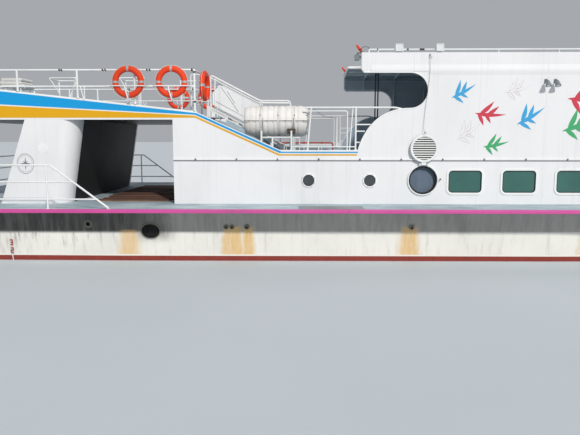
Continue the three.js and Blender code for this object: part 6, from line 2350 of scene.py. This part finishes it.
made = after_rail.done("after_rail_tubes", "boat", [rail_white], "white_paint")
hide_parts("aft_rail")

bow_rail = Piece()
bow_xs = (9.6, 11.4, 13.0, 14.7, 16.4, 18.0)


def bow_point(x, side, rise):
    half, z = deck_at(x)
    return (x, side * (half - 0.07), z + rise)


for rise, radius in ((0.95, 0.021), (0.475, 0.018)):
    run = [bow_point(x, -1, rise) for x in bow_xs] + [(18.76, 0.0, deck_at(18.76)[1] + rise)]
    run += [bow_point(x, 1, rise) for x in reversed(bow_xs)]
    bow_rail.tube(bent(run, 0.35, 6), radius, 14)
for side in (-1, 1):
    for x in bow_xs:
        px, py, pz = bow_point(x, side, 0.0)
        post(bow_rail, px, py, pz + 0.004, pz + 0.95, 0.020)
made = bow_rail.done("bow_rail_tubes", "boat", [rail_white], "white_paint")
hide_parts("bow_rail")

windlass_z = 1.9905


def on_windlass(u, v, w):
    """A place in the side view, measured up from the foredeck at the windlass."""
    return (u, w, windlass_z + v)


windlass = Piece()
windlass.plate(rounded(15.65, 16.35, -0.33, 0.33, 0.05), windlass_z, windlass_z + 0.05, 0, on_deck)
windlass.plate(
    [
        (15.80, 0.045), (16.20, 0.045), (16.20, 0.30), (16.14, 0.42), (16.06, 0.468),
        (15.94, 0.468), (15.86, 0.42), (15.80, 0.30)
    ],
    -0.15, 0.15, 0, on_windlass
)
windlass.turned(
    [(0.055, -0.42), (0.055, 0.42), (0.0, 0.42)], (16.0, 0.0, windlass_z + 0.30), (0, 1, 0), 24, 1
)
for side in (-1, 1):
    drum = [
        (0.055, 0.25), (0.148, 0.25), (0.150, 0.262), (0.118, 0.285), (0.104, 0.335), (0.118, 0.385),
        (0.150, 0.408), (0.148, 0.418), (0.0, 0.42)
    ]
    windlass.turned(drum, (16.0, 0.0, windlass_z + 0.30), (0, side, 0), 36, 1)
    windlass.turned(
        [
            (0.06, 0.155), (0.13, 0.155), (0.13, 0.175), (0.095, 0.19),
            (0.095, 0.205), (0.13, 0.22), (0.13, 0.238), (0.06, 0.238)
        ],
        (16.0, 0.0, windlass_z + 0.30), (0, side, 0), 12, 2
    )
    windlass.tube(
        bent(
            [
                (15.90, side * 0.20, windlass_z + 0.06), (15.78, side * 0.20, windlass_z + 0.30),
                (15.74, side * 0.20, windlass_z + 0.44)
            ],
            0.05
        ),
        0.012, 10, 1
    )
    for x in (15.70, 16.30):
        for y in (0.24, 0.12):
            windlass.turned(
                [(0.016, 0.05), (0.016, 0.066), (0.0, 0.068)], (x, side * y, windlass_z), (0, 0, 1), 6, 1
            )
windlass.turned(
    [(0.0, 0.0), (0.09, 0.0), (0.10, 0.02), (0.10, 0.19), (0.08, 0.21), (0.0, 0.21)],
    (16.19, 0.0, windlass_z + 0.17), (1, 0, 0), 24, 0
)
made = windlass.done(
    "windlass_gear", "boat",
    [coat("Windlass grey", "6f777c", "5a4634", 0.3, 0.5, 0.5, 60.0), galvanised, dark_iron],
    "steel", edge=0.004
)
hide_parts("windlass")

for name, x0, x1, half, top in (
    ("engine_hatch", -17.35, -16.55, 0.42, 1.43),
    ("bow_hatch", 13.25, 13.95, 0.33, 1.76),
):
    hatch = Piece()
    low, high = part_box(f"{name}_lid")
    lid_z = top + 0.0405
    hatch.rim(
        rounded(x0 - 0.055, x1 + 0.055, -half - 0.055, half + 0.055, 0.04),
        rounded(x0 + 0.02, x1 - 0.02, -half + 0.02, half - 0.02, 0.03), lid_z, lid_z + 0.004, 0, on_deck
    )
    x = x0 - 0.01
    for y in (-half + 0.10, half - 0.10):
        hatch.turned(
            [(0.022, 0.0), (0.022, 0.012), (0.012, 0.020), (0.0, 0.020)], (x, y, lid_z), (0, 0, 1), 16, 1
        )
        hatch.tube([(x, y - 0.05, lid_z + 0.016), (x, y + 0.05, lid_z + 0.016)], 0.007, 8, 1)
    hatch.done(f"{name}_fittings", name, [deck_coat, galvanised], edge=0.001)

# Mast fittings: lanterns and whips on the crosstree, with collars, steps and cables up the mast.
# The side lights stand in their screens on the roof's edge, and the scanner has a pale face.
mast_kit = Piece()
lamp_red = finish("Red lens", mottled("a3191c", "c2272a", 60.0), 0.15, Coat_Weight=0.4)
lamp_green = finish("Green lens", mottled("137a45", "1f9a5a", 60.0), 0.15, Coat_Weight=0.4)


def lantern(piece, at, lens):
    """A ship's lantern: a base, a ribbed lens and a cap."""
    piece.turned(
        [(0.0, 0.0), (0.045, 0.0), (0.050, 0.012), (0.050, 0.03), (0.0, 0.03)], at, (0, 0, 1), 20, 1
    )
    piece.turned(
        [
            (0.0, 0.028), (0.042, 0.028), (0.046, 0.05),
            (0.042, 0.075), (0.046, 0.10), (0.042, 0.12), (0.0, 0.12)
        ],
        at, (0, 0, 1), 20, lens
    )
    piece.turned(
        [(0.0, 0.118), (0.050, 0.118), (0.050, 0.13), (0.03, 0.15), (0.0, 0.152)], at, (0, 0, 1), 20, 1
    )


for side in (-1, 1):
    lantern(mast_kit, (3.27, side * 0.60, 6.874), 2)
    mast_kit.tube([(3.27, side * 0.9, 7.15), (3.27, side * 0.9, 7.46)], 0.005, 8, 1)
    mast_kit.turned(
        [(0.018, -0.02), (0.022, 0.0), (0.018, 0.04), (0.0, 0.045)],
        (3.27, side * 0.9, 7.14), (0, 0, 1), 12, 1
    )
    for y in (0.3, 0.75):
        collar(mast_kit, (3.27, side * y, 6.85), (0, 1, 0), 0.024, 0.030, 0.012)
    # The side light of each bow, in its screen on the roof's edge.
    x, y, z = 6.2, side * 2.60, 4.640
    mast_kit.plate(
        [(x - 0.30, z), (x + 0.30, z), (x + 0.30, z + 0.26), (x - 0.30, z + 0.26)],
        y - side * 0.12, y - side * 0.112, 1
    )
    mast_kit.plate(
        [
            (y - side * 0.12, z), (y + side * 0.06, z),
            (y + side * 0.06, z + 0.26), (y - side * 0.12, z + 0.26)
        ],
        x - 0.30, x - 0.292, 1, on_section
    )
    lantern(mast_kit, (x - 0.05, y - side * 0.03, z + 0.04), 4 if side < 0 else 3)
    mast_kit.tube(
        [(x - 0.05, y - side * 0.03, z - 0.02), (x - 0.05, y - side * 0.03, z + 0.045)], 0.012, 8, 1
    )
lantern(mast_kit, (3.49, 0.0, 6.52), 2)
mast_kit.plate([(3.30, 6.50), (3.55, 6.50), (3.55, 6.518), (3.30, 6.49)], -0.05, 0.05, 0)
for z in (4.95, 5.45, 5.75, 6.35, 6.70, 7.1):
    x = 3.4 - 0.15 * (z - 4.75) / 2.75
    collar(mast_kit, (x, 0.0, z), (-0.0545, 0, 1), 0.060, 0.066, 0.02, 24)
for k in range(9):
    z = 4.95 + k * 0.26
    x = 3.4 - 0.15 * (z - 4.75) / 2.75
    mast_kit.tube(
        bent([(x - 0.02, -0.05, z), (x - 0.02, -0.17, z), (x - 0.02, -0.17, z + 0.001)], 0.01), 0.008, 8, 0
    )
    mast_kit.tube(
        bent([(x - 0.02, 0.05, z), (x - 0.02, 0.17, z), (x - 0.02, 0.17, z + 0.001)], 0.01), 0.008, 8, 0
    )
cable = [(3.38, 0.062, 4.80), (3.33, 0.066, 5.6), (3.30, 0.066, 6.05), (3.285, 0.068, 6.80)]
mast_kit.tube(cable, 0.009, 8, 5)
mast_kit.tube(
    [(3.4, -0.066, 4.80), (3.33, -0.066, 5.6), (3.5, -0.07, 6.064), (3.9, -0.08, 6.104)], 0.009, 8, 5
)
for x in (3.4, 3.9):
    for y in (-0.15, 0.15):
        mast_kit.turned(
            [(0.010, 0.0), (0.010, 0.010), (0.0, 0.012)], (x + 0.05, y, 6.1003), (0, 0, 1), 6, 1
        )
mast_kit.done(
    "mast_fittings", "boat", [rail_white, galvanised, lamp_glass, lamp_red, lamp_green, rubber],
    "white_paint"
)

radar_kit = Piece()
radar_kit.turned(
    [(0.0, 0.0605), (0.055, 0.0605), (0.055, 0.066), (0.0, 0.066)], (4.04, 0.0, 6.2805), (0, 0, 1), 24, 0
)
face = rounded(-0.585, 0.585, 6.345, 6.435, 0.03)
radar_kit.plate(face, 4.1002, 4.1012, 1, on_section)
for y in (-0.55, 0.55):
    radar_kit.turned([(0.012, 0.0), (0.012, 0.004), (0.0, 0.005)], (3.98, y, 6.39), (-1, 0, 0), 12, 0)
radar_kit.done(
    "radar_face", "radar", [galvanised, coat("Scanner face", "d9dcdd", "9a9c9c", 0.1, 0.2, 0.45, 60.0)],
    edge=0.0004
)

# Two horns on short stands above the wheelhouse, facing forward.
# Three round vent heads stand along the roof.
roof_crown = 4.751
roof_kit = Piece()
for y, length in ((-0.28, 0.42), (0.0, 0.34)):
    roof_kit.turned(
        [
            (0.0, -0.03), (0.034, -0.028), (0.034, 0.0), (0.022, 0.012), (0.024, length * 0.5),
            (0.036, length * 0.78), (0.080, length), (0.074, length), (0.0, length * 0.8)
        ],
        (5.6, y, 4.90), (1, 0, 0), 24, 0
    )
    roof_kit.tube([(5.68, y, 4.88), (5.68, y, 4.752)], 0.014, 10, 0)
for x, y in ((-3.2, 0.9), (-0.4, -0.9), (1.9, 0.9)):
    roof_kit.turned(
        [
            (0.0, 0.0), (0.085, 0.0), (0.085, 0.16), (0.15, 0.175),
            (0.155, 0.205), (0.13, 0.245), (0.0, 0.262)
        ],
        (x, y, roof_crown), (0, 0, 1), 32, 0
    )
    roof_kit.turned(
        [(0.12, 0.0), (0.12, 0.008), (0.085, 0.012), (0.080, 0.0)],
        (x, y, roof_crown), (0, 0, 1), 32, 0, closed=True
    )
roof_kit.done("roof_fittings", "boat", [rail_white], "white_paint", edge=0.002)

# Afloat: the boat lies at its waterline on a plain pale floor, in clear light from its starboard bow.
# The floor's underside is see-through, so that the bottom, propellers and rudders can be looked at.
floor_pale = finish(
    "Pale floor",
    mottled("c3cbd1", "ccd3d8", 0.25),
    0.75,
)
tree = floor_pale.node_tree
pass_through = wire(tree, "BsdfTransparent")
facing = wire(tree, "NewGeometry").outputs["Backfacing"]
layered = wire(
    tree, "MixShader", {0: facing, 1: tree.nodes["Principled BSDF"].outputs[0], 2: pass_through.outputs[0]}
)
tree.links.new(layered.outputs[0], tree.nodes["Material Output"].inputs["Surface"])
floor_mesh = bpy.data.meshes.new("floor")
floor_mesh.from_pydata(
    [(-400, -400, 0), (400, -400, 0), (400, 400, 0), (-400, 400, 0)], [], [(0, 1, 2, 3)]
)
floor_mesh.materials.append(floor_pale)
floor = bpy.data.objects.new("floor", floor_mesh)
bpy.context.scene.collection.objects.link(floor)

sun_lamp = bpy.data.lights.new("Morning light", "SUN")
sun_lamp.energy = 2.7
sun_lamp.angle = math.radians(3.0)
sun_lamp.color = (1.0, 0.97, 0.92)
sun = bpy.data.objects.new("Morning light", sun_lamp)
sun.rotation_euler = Vector((-0.44, 1.0, -0.777)).to_track_quat("-Z", "Y").to_euler()
bpy.context.scene.collection.objects.link(sun)

studio = bpy.data.worlds.new("Pale studio")
studio.use_nodes = True
studio.node_tree.nodes["Background"].inputs["Color"].default_value = (0.76, 0.79, 0.84, 1.0)
studio.node_tree.nodes["Background"].inputs["Strength"].default_value = 0.5
bpy.context.scene.world = studio
bpy.context.scene.view_settings.view_transform = "Standard"
bpy.context.scene.view_settings.exposure = 0.0

lens = bpy.data.cameras.new("Side view")
lens.sensor_width = 36.0
lens.lens = 36.0 * 600 / 580
lens.clip_end = 2000.0
camera = bpy.data.objects.new("Side view", lens)
camera.location = (-9.572, -16.45, 2.75)
camera.rotation_euler = (math.radians(82.45), 0.0, math.radians(0.955))
bpy.context.scene.collection.objects.link(camera)
bpy.context.scene.camera = camera
